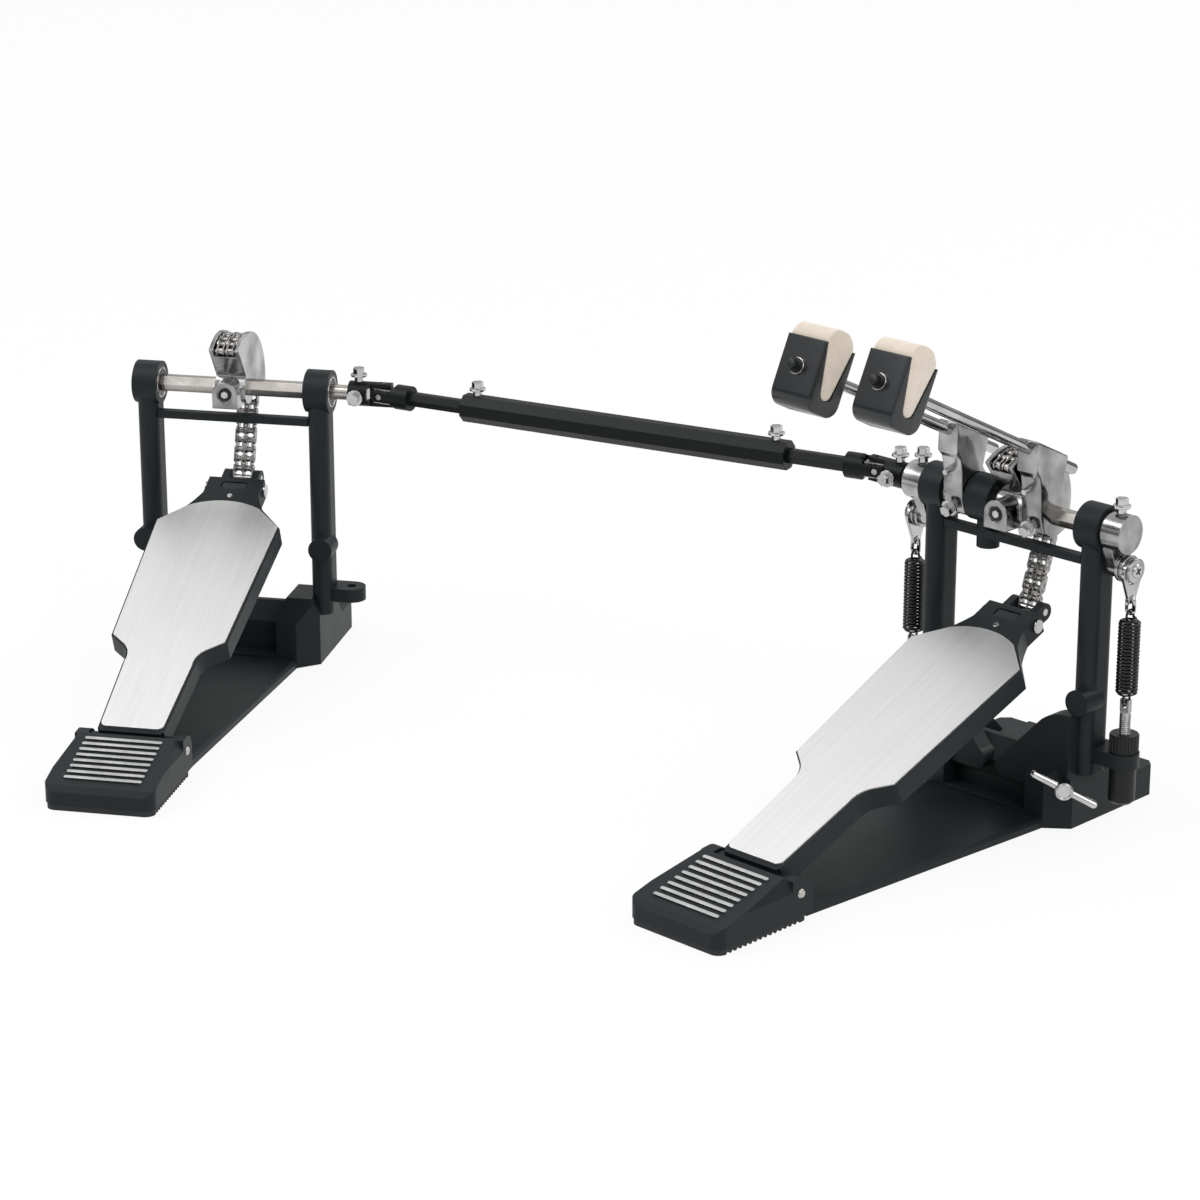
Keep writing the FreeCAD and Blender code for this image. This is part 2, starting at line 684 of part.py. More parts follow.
def make_footboard():
    """Hollow casting under the plate, with the heel knuckle, the neck and the toe fork."""
    top = PLATE_TOP - PLATE_THICK
    bottom = top - BOARD_DEPTH
    steps = plate_steps(BOARD_RIM)
    shell = plan_prism(bottom, top, steps[0], *steps[1:])
    inner = plate_steps(BOARD_RIM - BOARD_WALL)
    shell = shell.cut(plan_prism(bottom, top - BOARD_SKIN, inner[0], *inner[1:]))
    start = PLATE_CORNER + NECK_ROOT
    wide = PLATE_CROWN_HALF + NECK_SPREAD
    middle = ((wide + NECK_HALF) / 2 - NECK_HOLLOW, (start + NECK_WAIST) / 2 + NECK_HOLLOW)
    far_middle = (-middle[0], middle[1])
    neck = plan_prism(bottom, top, (wide, start), (middle, (NECK_HALF, NECK_WAIST)), (NECK_HALF, NECK_END),
                      (-NECK_HALF, NECK_END), (-NECK_HALF, NECK_WAIST), (far_middle, (-wide, start)))
    fork = make_fork(bottom)
    board = shell.fuse([neck, fork, mirror_x(fork)]).removeSplitter()
    window = block(-WINDOW_HALF, WINDOW_HALF, WINDOW_START, WINDOW_END, top - WINDOW_DEPTH, top)
    board = board.cut(round_edges(window, WINDOW_CORNER, Z_AXIS))
    knuckle = bar_x(KNUCKLE_RADIUS, -KNUCKLE_HALF, KNUCKLE_HALF, 0, 0)
    web = block(-PLATE_LOW_HALF, PLATE_LOW_HALF, 0, PLATE_LOW + BOARD_WALL, 0, top)
    board = board.fuse([knuckle, web]).removeSplitter()
    board = board.cut(bar_x(HINGE_RADIUS + RUNNING_FIT, -KNUCKLE_HALF, KNUCKLE_HALF, 0, 0))
    board = board.cut(bar_x(TOE_RADIUS + PRESS_GAP, -FORK_OUTER, FORK_OUTER, TOE_U, TOE_V))
    for shank in neck_screw_shanks(PRESS_GAP):
        board = board.cut(shank)
    return on_board(board)


def make_fork(bottom):
    """Right cheek behind the neck that holds one end of the chain's toe pin."""
    tip = TOE_V + TOE_EYE
    low = TOE_V - TOE_EYE
    return side_prism(FORK_INNER, FORK_OUTER, (NECK_WAIST, max(bottom, low)), (TOE_U, low),
                      ((TOE_U + TOE_EYE, TOE_V), (TOE_U, tip)), (NECK_WAIST, tip))


def neck_screw_shanks(gap):
    """Screws in the sides of the neck; a gap grows them into their own holes."""
    inner = NECK_HALF - NECK_SCREW_DEPTH - gap
    shank = bar_x(TOE_RADIUS + gap, inner, NECK_HALF, NECK_SCREW_U, NECK_SCREW_V)
    return [shank, mirror_x(shank)]


def make_toe_pins():
    """Pin that carries the chain, and the screw in each side of the neck."""
    pin = bar_x(TOE_RADIUS, -FORK_OUTER, FORK_OUTER, TOE_U, TOE_V)
    head = bar_x(PIN_HEAD_RADIUS, NECK_HALF, NECK_HALF + PIN_HEAD, NECK_SCREW_U, NECK_SCREW_V)
    screw = neck_screw_shanks(0.0)[0].fuse(head).removeSplitter()
    return [on_board(piece) for piece in (pin, screw, mirror_x(screw))]


# Chain

def link_plate(x0, x1, a, b, radius):
    """Plate with blunt round ends between two pins, given in Y and Z."""
    along = Vector(0, b[0] - a[0], b[1] - a[1])
    along.normalize()
    side = Vector(0, -along.z, along.y)
    corners = []
    for centre, outward in ((b, 1), (a, -1)):
        for i in range(CHAIN_PLATE_SIDES + 1):
            angle = math.pi * i / CHAIN_PLATE_SIDES
            offset = (side * math.cos(angle) + along * math.sin(angle)) * (radius * outward)
            corners.append((centre[0] + offset.y, centre[1] + offset.z))
    return side_prism(x0, x1, corners[0], *corners[1:])


def chain_roller(pin, half):
    """Six-sided roller across the chain at a pin."""
    roller = even_bar(6, 2 * CHAIN_PIN_RADIUS, -half, half)
    return roller.translated(Vector(0, pin[0], pin[1]))


def chain_line():
    """Toe pin, unit step and free length of the run, which is a tangent to the cam's pitch circle."""
    toe = board_point(TOE_U, TOE_V)
    span = math.hypot(toe[0], AXLE_Z - toe[1])
    lean = math.asin(CAM_CHAIN_RADIUS / span) - math.atan2(toe[0], AXLE_Z - toe[1])
    free = math.sqrt(span ** 2 - CAM_CHAIN_RADIUS ** 2)
    return toe, (math.sin(lean), math.cos(lean)), free


def run_pins():
    """Pins of the straight run, the last of them the first that rides on the cam."""
    toe, step, free = chain_line()
    count = int(free / CHAIN_PITCH)
    along = [CHAIN_PITCH * i for i in range(count + 1)]
    return [(toe[0] + step[0] * reach, toe[1] + step[1] * reach) for reach in along]


def make_links(pins, plates, halves):
    """Links between pins, each with its own plates, and a roller of a given half width at each pin."""
    pieces = []
    for i, sides in enumerate(plates):
        pieces += [link_plate(x0, x1, pins[i], pins[i + 1], CHAIN_PLATE_RADIUS) for x0, x1 in sides]
    pieces += [chain_roller(pin, half) for pin, half in zip(pins, halves) if half > 0]
    return pieces[0].fuse(pieces[1:]).removeSplitter()


def make_chain_run():
    """Straight run: outer and inner links in turn, an eye on the toe pin, an open link at the cam."""
    pins = run_pins()
    last = len(pins) - 2
    plates = [CHAIN_INNER_PLATES if (last - i) % 2 else CHAIN_OUTER_PLATES for i in range(last)]
    run = make_links(pins, plates + [CHAIN_OUTER_PLATES], [0] + [CHAIN_HALF] * last)
    toe = pins[0]
    eye = bar_x(TOE_RADIUS + CHAIN_EYE_WALL, -CHAIN_HALF, CHAIN_HALF, toe[0], toe[1])
    bore = bar_x(TOE_RADIUS + RUNNING_FIT, -FORK_OUTER, FORK_OUTER, toe[0], toe[1])
    return run.fuse(eye).removeSplitter().cut(bore)


def cam_pins():
    """Pins on the cam: the run's last pin, then steps of one pitch round the pitch circle."""
    toe, step, free = chain_line()
    pins = run_pins()
    slack = free - CHAIN_PITCH * (len(pins) - 1)
    turn = 2 * math.asin(CHAIN_PITCH / 2 / CAM_CHAIN_RADIUS)
    angle = turn - slack / CAM_CHAIN_RADIUS - math.atan2(step[0], step[1])
    chosen = [pins[-1]]
    while angle < math.radians(CAM_LIP):
        chosen.append((CAM_CHAIN_RADIUS * math.cos(angle), AXLE_Z + CAM_CHAIN_RADIUS * math.sin(angle)))
        angle += turn
    return chosen


def make_chain_bend():
    """Links that come off the cam in a stroke; their first pins are short, inside the run's open link."""
    pins = cam_pins()[:CHAIN_BEND_LINKS + 1]
    full = CHAIN_BEND_LINKS - CHAIN_SHORT_PINS
    inner = [CHAIN_INNER_PLATES] * (CHAIN_SHORT_PINS - 1)
    outer = [CHAIN_OUTER_PLATES + CHAIN_MIDDLE_PLATE] * full
    halves = [CHAIN_SHORT_HALF] * CHAIN_SHORT_PINS + [CHAIN_HALF] * full
    return make_links(pins, inner + outer + [CHAIN_OUTER_PLATES], halves)


def make_chain_wrap():
    """Links that stay on the cam; the first pin is short, inside the bend's open link."""
    pins = cam_pins()[CHAIN_BEND_LINKS:]
    count = len(pins) - 1
    plates = [CHAIN_OUTER_PLATES if i % 2 else CHAIN_INNER_PLATES for i in range(count)]
    return make_links(pins, plates, [CHAIN_SHORT_HALF] + [CHAIN_HALF] * count)


# Cam and axles

def ring_sector(x0, x1, radius, start, end):
    """Slice of a round plate about the axle between two angles from +Y, in degrees."""
    first = math.radians(start)
    last = math.radians(end)
    middle = (first + last) / 2
    rim = [(radius * math.cos(angle), radius * math.sin(angle)) for angle in (first, middle, last)]
    return side_prism(x0, x1, (0, 0), rim[0], (rim[1], rim[2]))


def make_cam():
    """Sector with two flanges that guide the chain, and a boss clamped to the hex axle."""
    inner = CHAIN_HALF + SEAT_GAP
    outer = inner + CAM_FLANGE_THICK
    seat = CAM_CHAIN_RADIUS - CHAIN_PLATE_RADIUS - SEAT_GAP
    core = ring_sector(-outer, outer, seat, CAM_SEAT_START, CAM_LIP)
    flange = ring_sector(inner, outer, CAM_FLANGE_RADIUS, CAM_FLANGE_START, CAM_LIP)
    hub = bar_x(CAM_HUB_RADIUS, -outer, outer, 0, 0)
    boss = front_prism(-CAM_BOSS_REACH, 0, (-CAM_BOSS_RADIUS, -CAM_BOSS_BOTTOM),
                       (CAM_BOSS_RADIUS, -CAM_BOSS_BOTTOM), (CAM_BOSS_RADIUS, 0),
                       ((0, CAM_BOSS_RADIUS), (-CAM_BOSS_RADIUS, 0)))
    cam = core.fuse([flange, mirror_x(flange), hub, boss]).removeSplitter()
    cam = cam.cut(even_bar(6, AXLE_HEX + 2 * PRESS_GAP, -outer, outer))
    recess = bar_y(BOLT_FLANGE + PRESS_GAP, -CAM_BOSS_REACH, -CAM_BOSS_REACH + BOLT_HEAD, 0, 0)
    return at_axle(cam.cut(recess))


def make_cam_screw():
    screw = socket_screw(BOLT_FLANGE, BOLT_HEAD - CAM_SCREW_SUNK, BOLT_RADIUS)
    screw = screw.rotated(Vector(0, 0, 0), X_AXIS, 90)
    return at_axle(screw.translated(Vector(0, -CAM_BOSS_REACH + CAM_SCREW_SUNK, 0)))


def make_hex_axle(round_left, hex_left, hex_right, round_right):
    """Hex shaft with turned round ends, given as X along the axle."""
    middle = even_bar(6, AXLE_HEX, hex_left, hex_right)
    left = bar_x(AXLE_RADIUS, round_left, hex_left, 0, 0)
    right = bar_x(AXLE_RADIUS, hex_right, round_right, 0, 0)
    return at_axle(middle.fuse([left, right]).removeSplitter())


# Beaters, drawn in the striking pose with the rod upright

def make_beater_hub(x, bore, lean):
    """Faceted ring on the axle, a neck, and the block that clamps the rod."""
    half = HUB_WIDTH / 2
    ring = even_bar(8, HUB_RING, x - half, x + half)
    over = BEATER_OFFSET + HUB_BLOCK_OVER
    low_end = HUB_BLOCK_END - HUB_BLOCK_SLANT
    clamp = side_prism(x - half, x + half, (HUB_BLOCK_UNDER, HUB_BLOCK_START), (over, HUB_BLOCK_START),
                       (over, HUB_BLOCK_END), (HUB_BLOCK_UNDER, low_end))
    radius = HUB_RING / 2
    neck = side_prism(x - half + HUB_NECK_INSET, x + half - HUB_NECK_INSET, (-radius * 0.6, radius * 0.76),
                      (HUB_BLOCK_UNDER, low_end), (BEATER_OFFSET, low_end), (BEATER_OFFSET, HUB_BLOCK_START),
                      (HUB_BLOCK_UNDER, HUB_BLOCK_START), (radius * 0.72, -radius * 0.66))
    hub = ring.fuse([clamp, neck]).removeSplitter()
    hub = hub.cut(bar_z(ROD_RADIUS + RUNNING_FIT, HUB_BLOCK_START, HUB_BLOCK_END, x, BEATER_OFFSET))
    return leaned(hub.cut(bore), lean)


def make_beater_rod(x, lean):
    """Rod with the nut that holds the head on it."""
    top = HEAD_INNER + HEAD_THICK
    rod = bar_z(ROD_RADIUS, ROD_TAIL, top, x, BEATER_OFFSET)
    rod = rod.makeChamfer(ROD_EDGE, [edge for edge in rod.Edges if edge.BoundBox.ZMax < ROD_TAIL + 0.1])
    nut = bar_z(NUT_RADIUS, top, top + NUT_PROUD, x, BEATER_OFFSET)
    nut = nut.cut(bar_z(NUT_SOCKET, top + SEAT_GAP, top + NUT_PROUD, x, BEATER_OFFSET))
    return leaned(rod.fuse(nut).removeSplitter(), lean)


def felt_steps(gap):
    """Wedge of felt in n and s, drawn in from the casing by a gap."""
    middle = HEAD_INNER + HEAD_THICK / 2
    root = FELT_ROOT_RADIUS - gap
    low = FELT_BOTTOM + FELT_ROOT_RADIUS
    inner = HEAD_INNER + CHEEK_TIP + gap
    outer = HEAD_INNER + HEAD_THICK - CHEEK_TIP - gap
    return [(low, middle - root), (HEAD_OPEN, inner), (FELT_SIDE, inner),
            ((FELT_CROWN, middle + FELT_SKEW), (FELT_SIDE + FELT_LEAD, outer)), (HEAD_OPEN, outer),
            (low, middle + root),
            ((low - root, middle), (low, middle - root))]


def make_casing(x, lean):
    """U-shaped shell round the felt, closed at the player's side when it strikes."""
    half = HEAD_WIDTH / 2
    end = HEAD_INNER + HEAD_THICK
    turn = HEAD_CORNER * (1 - DIAGONAL)
    shell = side_prism(x - half, x + half, (HEAD_OPEN, HEAD_INNER), (HEAD_OPEN, end),
                       (HEAD_BACK + HEAD_CORNER, end),
                       ((HEAD_BACK + turn, end - turn), (HEAD_BACK, end - HEAD_CORNER)),
                       (HEAD_BACK, HEAD_INNER + HEAD_CORNER),
                       ((HEAD_BACK + turn, HEAD_INNER + turn), (HEAD_BACK + HEAD_CORNER, HEAD_INNER)))
    steps = felt_steps(0.0)
    hollow = side_prism(x - half, x + half, steps[0], *steps[1:])
    shell = shell.cut([hollow, bar_z(ROD_RADIUS + PRESS_GAP, HEAD_INNER, end, x, BEATER_OFFSET)])
    return leaned(shell, lean)


def make_felt(x, lean):
    half = HEAD_WIDTH / 2 - FELT_INSET
    steps = felt_steps(FELT_GAP)
    felt = side_prism(x - half, x + half, steps[0], *steps[1:])
    hole = bar_z(ROD_RADIUS + FELT_GAP, HEAD_INNER, HEAD_INNER + HEAD_THICK, x, BEATER_OFFSET)
    return leaned(felt.cut(hole), lean)


# Rockers, hangers, springs and tensioners on the right-hand side

def rocker_pin_x():
    return ROCKER_START + ROCKER_ARM_WIDTH


def make_rocker():
    """Teardrop lever on the axle's end, with the pulley and screw that carry the hanger."""
    end = ROCKER_START + ROCKER_WIDTH
    pin_z = -ROCKER_PIN_DROP
    hub = bar_x(ROCKER_RADIUS, ROCKER_START, end, 0, 0)
    arm_end = rocker_pin_x()
    arm = side_prism(ROCKER_START, arm_end, (-ROCKER_RADIUS, 0), (ROCKER_PIN_Y - ROCKER_TIP_RADIUS, pin_z),
                     ((ROCKER_PIN_Y, pin_z - ROCKER_TIP_RADIUS), (ROCKER_PIN_Y + ROCKER_TIP_RADIUS, pin_z)),
                     (ROCKER_RADIUS, 0))
    side = PULLEY_WIDTH / 3
    rims = bar_x(PULLEY_RADIUS, arm_end, arm_end + side, ROCKER_PIN_Y, pin_z)
    groove = bar_x(PULLEY_GROOVE, arm_end, arm_end + PULLEY_WIDTH, ROCKER_PIN_Y, pin_z)
    far_rim = bar_x(PULLEY_RADIUS, arm_end + 2 * side, arm_end + PULLEY_WIDTH, ROCKER_PIN_Y, pin_z)
    strap_end = arm_end + PULLEY_WIDTH + STRAP_THICK + 2 * SEAT_GAP
    screw = bar_x(ROCKER_SCREW_RADIUS, arm_end, strap_end, ROCKER_PIN_Y, pin_z)
    head = bar_x(ROCKER_SCREW_HEAD, strap_end, strap_end + ROCKER_SCREW_CAP, ROCKER_PIN_Y, pin_z)
    rocker = hub.fuse([arm, rims, groove, far_rim, screw, head]).removeSplitter()
    hole = bar_x(AXLE_RADIUS + PRESS_GAP, ROCKER_START, end - ROCKER_END_WALL, 0, 0)
    return at_axle(rocker.cut(hole))


def make_hanger():
    """Strap round the rocker's screw, and the ring that hangs from it."""
    pin_z = AXLE_Z - ROCKER_PIN_DROP
    centre_z = pin_z - STRAP_DROP
    tail_z = pin_z - STRAP_TAIL
    x0 = STRAP_X
    x1 = x0 + STRAP_THICK
    tail = RING_HALF_WIDTH
    strap = side_prism(x0, x1, (ROCKER_PIN_Y - STRAP_RADIUS, centre_z),
                       ((ROCKER_PIN_Y, centre_z + STRAP_RADIUS), (ROCKER_PIN_Y + STRAP_RADIUS, centre_z)),
                       (ROCKER_PIN_Y + tail, tail_z),
                       ((ROCKER_PIN_Y, tail_z - tail), (ROCKER_PIN_Y - tail, tail_z)))
    strap = strap.cut(bar_x(STRAP_HOLE, x0, x1, ROCKER_PIN_Y, centre_z))
    wire_hole = RING_WIRE + SEAT_GAP
    hole_z = tail_z + RING_SEAT
    strap = strap.cut(bar_x(wire_hole, x0, x1, ROCKER_PIN_Y, hole_z))
    return [strap, make_ring((x0 + x1) / 2, hole_z)]


def make_ring(x, top_z):
    """Oval wire ring in the plane square to the strap, hung in the strap's hole."""
    half = RING_HALF_WIDTH - RING_WIRE
    straight = RING_LENGTH - 2 * half
    upper = top_z - half
    lower = upper - straight
    y = ROCKER_PIN_Y
    far_up = Vector(x + half, y, upper)
    far_low = Vector(x + half, y, lower)
    near_low = Vector(x - half, y, lower)
    near_up = Vector(x - half, y, upper)
    edges = [Part.Arc(near_up, Vector(x, y, top_z), far_up), Part.LineSegment(far_up, far_low),
             Part.Arc(far_low, Vector(x, y, lower - half), near_low), Part.LineSegment(near_low, near_up)]
    path = Part.Wire([edge.toShape() for edge in edges])
    return path.makePipeShell([wire_section(near_up, RING_WIRE)], True, False)


def wire_section(centre, radius):
    """Level cross-section of a bent wire, with flats instead of a circle."""
    corners = []
    for i in range(SPRING_WIRE_SIDES + 1):
        angle = 2 * math.pi * i / SPRING_WIRE_SIDES
        corners.append(centre + Vector(radius * math.cos(angle), radius * math.sin(angle), 0))
    return Part.makePolygon(corners)


def ring_bottom():
    """Height of the inside of the ring's lower bend."""
    top = AXLE_Z - ROCKER_PIN_DROP - STRAP_TAIL + RING_SEAT
    return top - RING_LENGTH + RING_WIRE


def tangent_arcs(p0, t0, p1, t1):
    """Two arcs that meet in a common tangent, from a point and direction to another."""
    chord = p1 - p0
    total = t0 + t1
    a = 2 * (t0.dot(t1) - 1)
    b = -2 * chord.dot(total)
    c = chord.dot(chord)
    if abs(a) < 1e-9:
        reach = -c / b
    else:
        reach = (-b - math.sqrt(b * b - 4 * a * c)) / (2 * a)
    q0 = p0 + t0 * reach
    q1 = p1 - t1 * reach
    joint = (q0 + q1) * 0.5
    return [arc_by_corner(p0, q0, joint), arc_by_corner(joint, q1, p1)]


def arc_by_corner(start, corner, end):
    """Arc that touches both legs of a corner with equal legs."""
    middle = (start + end) * 0.5
    to_corner = corner - middle
    cosine = middle.distanceToPoint(start) / corner.distanceToPoint(start)
    return Part.Arc(start, middle + to_corner * (cosine / (1 + cosine)), end)


def make_spring(x, y, low_hook, high_hook):
    """Extension spring: a coil with a hook at each end, one unbroken wire; returns it and its gap."""
    height = SPRING_TOP - SPRING_BOTTOM
    rise = height / (SPRING_TURNS * 2 * math.pi)

    def coil_point(angle):
        return Vector(x + SPRING_RADIUS * math.cos(angle), y + SPRING_RADIUS * math.sin(angle),
                      SPRING_BOTTOM + rise * angle)

    def coil_direction(angle):
        along = Vector(-SPRING_RADIUS * math.sin(angle), SPRING_RADIUS * math.cos(angle), rise)
        return along.normalize()

    low_side = Vector(x, y + HOOK_RADIUS, low_hook)
    high_side = Vector(x, y + HOOK_RADIUS, high_hook)
    arcs = [Part.Arc(Vector(x, y - HOOK_RADIUS, low_hook), Vector(x, y, low_hook - HOOK_RADIUS), low_side)]
    arcs += tangent_arcs(low_side, Z_AXIS, coil_point(0), coil_direction(0))
    for i in range(2 * SPRING_TURNS):
        a = i * math.pi
        b = a + math.pi
        arcs += tangent_arcs(coil_point(a), coil_direction(a), coil_point(b), coil_direction(b))
    last = 2 * SPRING_TURNS * math.pi
    arcs += tangent_arcs(coil_point(last), coil_direction(last), high_side, Z_AXIS)
    high_top = Vector(x, y, high_hook + HOOK_RADIUS)
    arcs.append(Part.Arc(high_side, high_top, Vector(x, y - HOOK_RADIUS, high_hook)))
    path = Part.Wire([arc.toShape() for arc in arcs])
    section = wire_section(Vector(x, y - HOOK_RADIUS, low_hook), SPRING_WIRE)
    return path.makePipeShell([section], True, False), least_gap(arcs)


def least_gap(arcs):
    """Least distance between stretches of wire that are more than half a turn apart, less the wire."""
    points = []
    run = 0.0
    for arc in arcs:
        length = arc.length()
        for i in range(4):
            points.append((run + length * i / 4, arc.value(arc.parameterAtDistance(length * i / 4))))
        run += length
    apart = math.pi * SPRING_RADIUS
    least = run
    for i, (at, point) in enumerate(points):
        for other_at, other in points[i + 1:]:
            if other_at - at > apart:
                least = min(least, point.distanceToPoint(other))
    return least - 2 * SPRING_WIRE


def make_tensioner():
    """Threaded rod with an eye, the knurled nut over the lug and the barrel nut under it."""
    rod_top = EYE_Z - EYE_HEIGHT / 2
    rod = bar_z(EYE_ROD_RADIUS, TENSION_FOOT, rod_top, LUG_X, LUG_Y)
    eye = block(LUG_X - EYE_ROD_RADIUS, LUG_X + EYE_ROD_RADIUS, LUG_Y - EYE_HALF, LUG_Y + EYE_HALF,
                rod_top, EYE_Z + EYE_HEIGHT / 2)
    eye = eye.cut(bar_y(EYE_HOLE, LUG_Y - LUG_RADIUS, LUG_Y + LUG_RADIUS, LUG_X, EYE_Z))
    rod = rod.fuse(eye).removeSplitter()
    nut = bar_z(KNURL_RADIUS, LUG_TOP, LUG_TOP + KNURL_HEIGHT, LUG_X, LUG_Y)
    barrel = bar_z(BARREL_RADIUS, LUG_BOTTOM - BARREL_HEIGHT, LUG_BOTTOM, LUG_X, LUG_Y)
    barrel = barrel.makeChamfer(BARREL_EDGE, [edge for edge in barrel.Edges
                                              if edge.BoundBox.ZMax < LUG_BOTTOM - BARREL_HEIGHT + 0.1])
    hole = bar_z(EYE_ROD_RADIUS + PRESS_GAP, 0, AXLE_Z, LUG_X, LUG_Y)
    return [rod, nut.cut(hole), barrel.cut(hole)]


# Universal joints and drive shaft, drawn along X with the joint's centre at the origin

def make_yoke(length, side):
    """Fork with its ears past the joint's centre; side says which way the stem points along X."""
    body = bar_x(YOKE_RADIUS, -length, YOKE_TIP, 0, 0)
    half = YOKE_SLOT / 2
    slot = block(-YOKE_SLOT_DEPTH, YOKE_TIP, -YOKE_RADIUS, YOKE_RADIUS, -half, half)
    flat = block(-YOKE_TRIM, YOKE_TIP, YOKE_EAR_HALF, YOKE_RADIUS, -YOKE_RADIUS, YOKE_RADIUS)
    yoke = body.cut([slot, flat, flat.mirror(Vector(0, 0, 0), Y_AXIS)])
    return yoke if side < 0 else mirror_x(yoke)


def make_axle_yoke(side):
    """Yoke bored for the axle's round end, its cross pins upright."""
    yoke = make_yoke(AXLE_YOKE_LENGTH, side)
    bore = bar_x(AXLE_RADIUS + PRESS_GAP, YOKE_SLOT_DEPTH, AXLE_YOKE_LENGTH, 0, 0)
    bore = bore if side > 0 else mirror_x(bore)
    return yoke.cut([bore, bar_z(CROSS_PIN_RADIUS + RUNNING_FIT, -YOKE_RADIUS, YOKE_RADIUS, 0, 0)])


def make_shaft_yoke(side):
    """Yoke at the end of a shaft rod, its cross pins level, with room round them."""
    yoke = make_yoke(SHAFT_YOKE_LENGTH, side).rotated(Vector(0, 0, 0), X_AXIS, 90)
    return yoke.cut(bar_y(CROSS_PIN_RADIUS + CROSS_OPEN_GAP, -YOKE_RADIUS, YOKE_RADIUS, 0, 0))


def make_cross():
    """Block that fills both yokes' slots, with two pins; the level pins take the shaft's yoke."""
    half = YOKE_SLOT / 2 - SEAT_GAP
    reach = YOKE_RADIUS - CROSS_PIN_INSET
    core = block(-CROSS_BLOCK / 2, CROSS_BLOCK / 2, -half, half, -half, half)
    upright = bar_z(CROSS_PIN_RADIUS, -reach, reach, 0, 0)
    level = bar_y(CROSS_PIN_RADIUS, -reach, reach, 0, 0)
    return core.fuse([upright, level]).removeSplitter()


def shaft_direction():
    bend = math.radians(SHAFT_BEND)
    return Vector(math.cos(bend), math.sin(bend), 0)


def right_joint():
    return Vector(-JOINT_X, 0, AXLE_Z)


def left_joint():
    return right_joint() - shaft_direction() * SHAFT_SPAN


def on_shaft(shape, centre):
    """From a joint's own frame to the drive shaft's direction at a joint's centre."""
    return shape.rotated(Vector(0, 0, 0), Z_AXIS, SHAFT_BEND).translated(centre)


def left_pedal(shape):
    """From the left pedal's own frame to where it stands."""
    turned = shape.rotated(Vector(0, 0, 0), Z_AXIS, LEFT_TURN)
    turn = math.radians(LEFT_TURN)
    origin = left_joint() - Vector(math.cos(turn), math.sin(turn), 0) * LEFT_JOINT_X
    return turned.translated(Vector(origin.x, origin.y, 0))


def make_shaft_rod(side):
    """Hex rod from a shaft yoke into the tube."""
    if side > 0:
        reach = TUBE_START + ROD_IN_TUBE
        rod = even_bar(6, SHAFT_ROD_HEX, SHAFT_YOKE_LENGTH, reach)
    else:
        reach = SHAFT_SPAN - TUBE_END + ROD_IN_TUBE
        rod = even_bar(6, SHAFT_ROD_HEX, -reach, -SHAFT_YOKE_LENGTH)
    return make_shaft_yoke(side).fuse(rod).removeSplitter()


def make_shaft_tube():
    """Eight-sided tube with a hex bore, from the left joint's centre."""
    tube = even_bar(8, TUBE_ACROSS, TUBE_START, TUBE_END)
    return tube.cut(even_bar(6, SHAFT_ROD_HEX + 2 * TUBE_BORE_GAP, TUBE_START, TUBE_END))


def make_shaft_bolts():
    """One clamp bolt near each end of the tube."""
    bolts = []
    for x in (TUBE_START + SHAFT_BOLT_INSET, TUBE_END - SHAFT_BOLT_INSET):
        bolts.append(flange_bolt(BOLT_SHANK).translated(Vector(x, 0, TUBE_ACROSS / 2 + BOLT_SHANK)))
    return bolts


# Hoop clamp

def make_jaw():
    """Upper jaw over the tongue, turning on a pin in the feet behind the bridge."""
    half = FOOT_INNER - JAW_SIDE_GAP
    plate = side_prism(-half, half, (JAW_REAR, JAW_UNDER), (JAW_LIP, JAW_UNDER),
                       (JAW_LIP, JAW_TOP - JAW_TAPER), (JAW_PAD_REAR, JAW_TOP), (JAW_REAR, JAW_TOP))
    reach = FOOT_INNER + JAW_PIVOT_REACH
    pivot = bar_x(JAW_PIVOT_RADIUS, -reach, reach, JAW_PIVOT_Y, JAW_PIVOT_Z)
    return plate.fuse(pivot).removeSplitter()


def make_jaw_pad():
    half = FOOT_INNER - 2 * JAW_SIDE_GAP
    end = JAW_LIP - JAW_PAD_INSET
    return block(-half, half, JAW_PAD_REAR, end, JAW_UNDER - JAW_PAD_THICK, JAW_UNDER)


def make_clamp_screw():
    """Threaded screw with a round hub and a cross handle, along its own slanted axis."""
    shank = bar_z(SCREW_RADIUS, -SCREW_INSIDE, SCREW_OUTSIDE, 0, 0)
    hub_from = SCREW_OUTSIDE - SCREW_HUB_LAP
    hub = bar_z(SCREW_HUB_RADIUS, hub_from, hub_from + SCREW_HUB_LENGTH, 0, 0)
    bar_at = hub_from + SCREW_HUB_LENGTH / 2
    handle = bar_x(HANDLE_RADIUS, -HANDLE_HALF, HANDLE_HALF, 0, bar_at)
    ends = [edge for edge in handle.Edges if edge.BoundBox.XLength < 0.1]
    handle = handle.makeChamfer(HANDLE_EDGE, ends)
    screw = shank.fuse([hub, handle]).removeSplitter()
    screw = screw.rotated(Vector(0, 0, 0), Z_AXIS, -HANDLE_TILT)
    screw = screw.rotated(Vector(0, 0, 0), X_AXIS, 90)
    screw = screw.rotated(Vector(0, 0, 0), Z_AXIS, SCREW_TURN)
    return screw.translated(Vector(SCREW_X, SCREW_Y, SCREW_Z))


# Everything by node

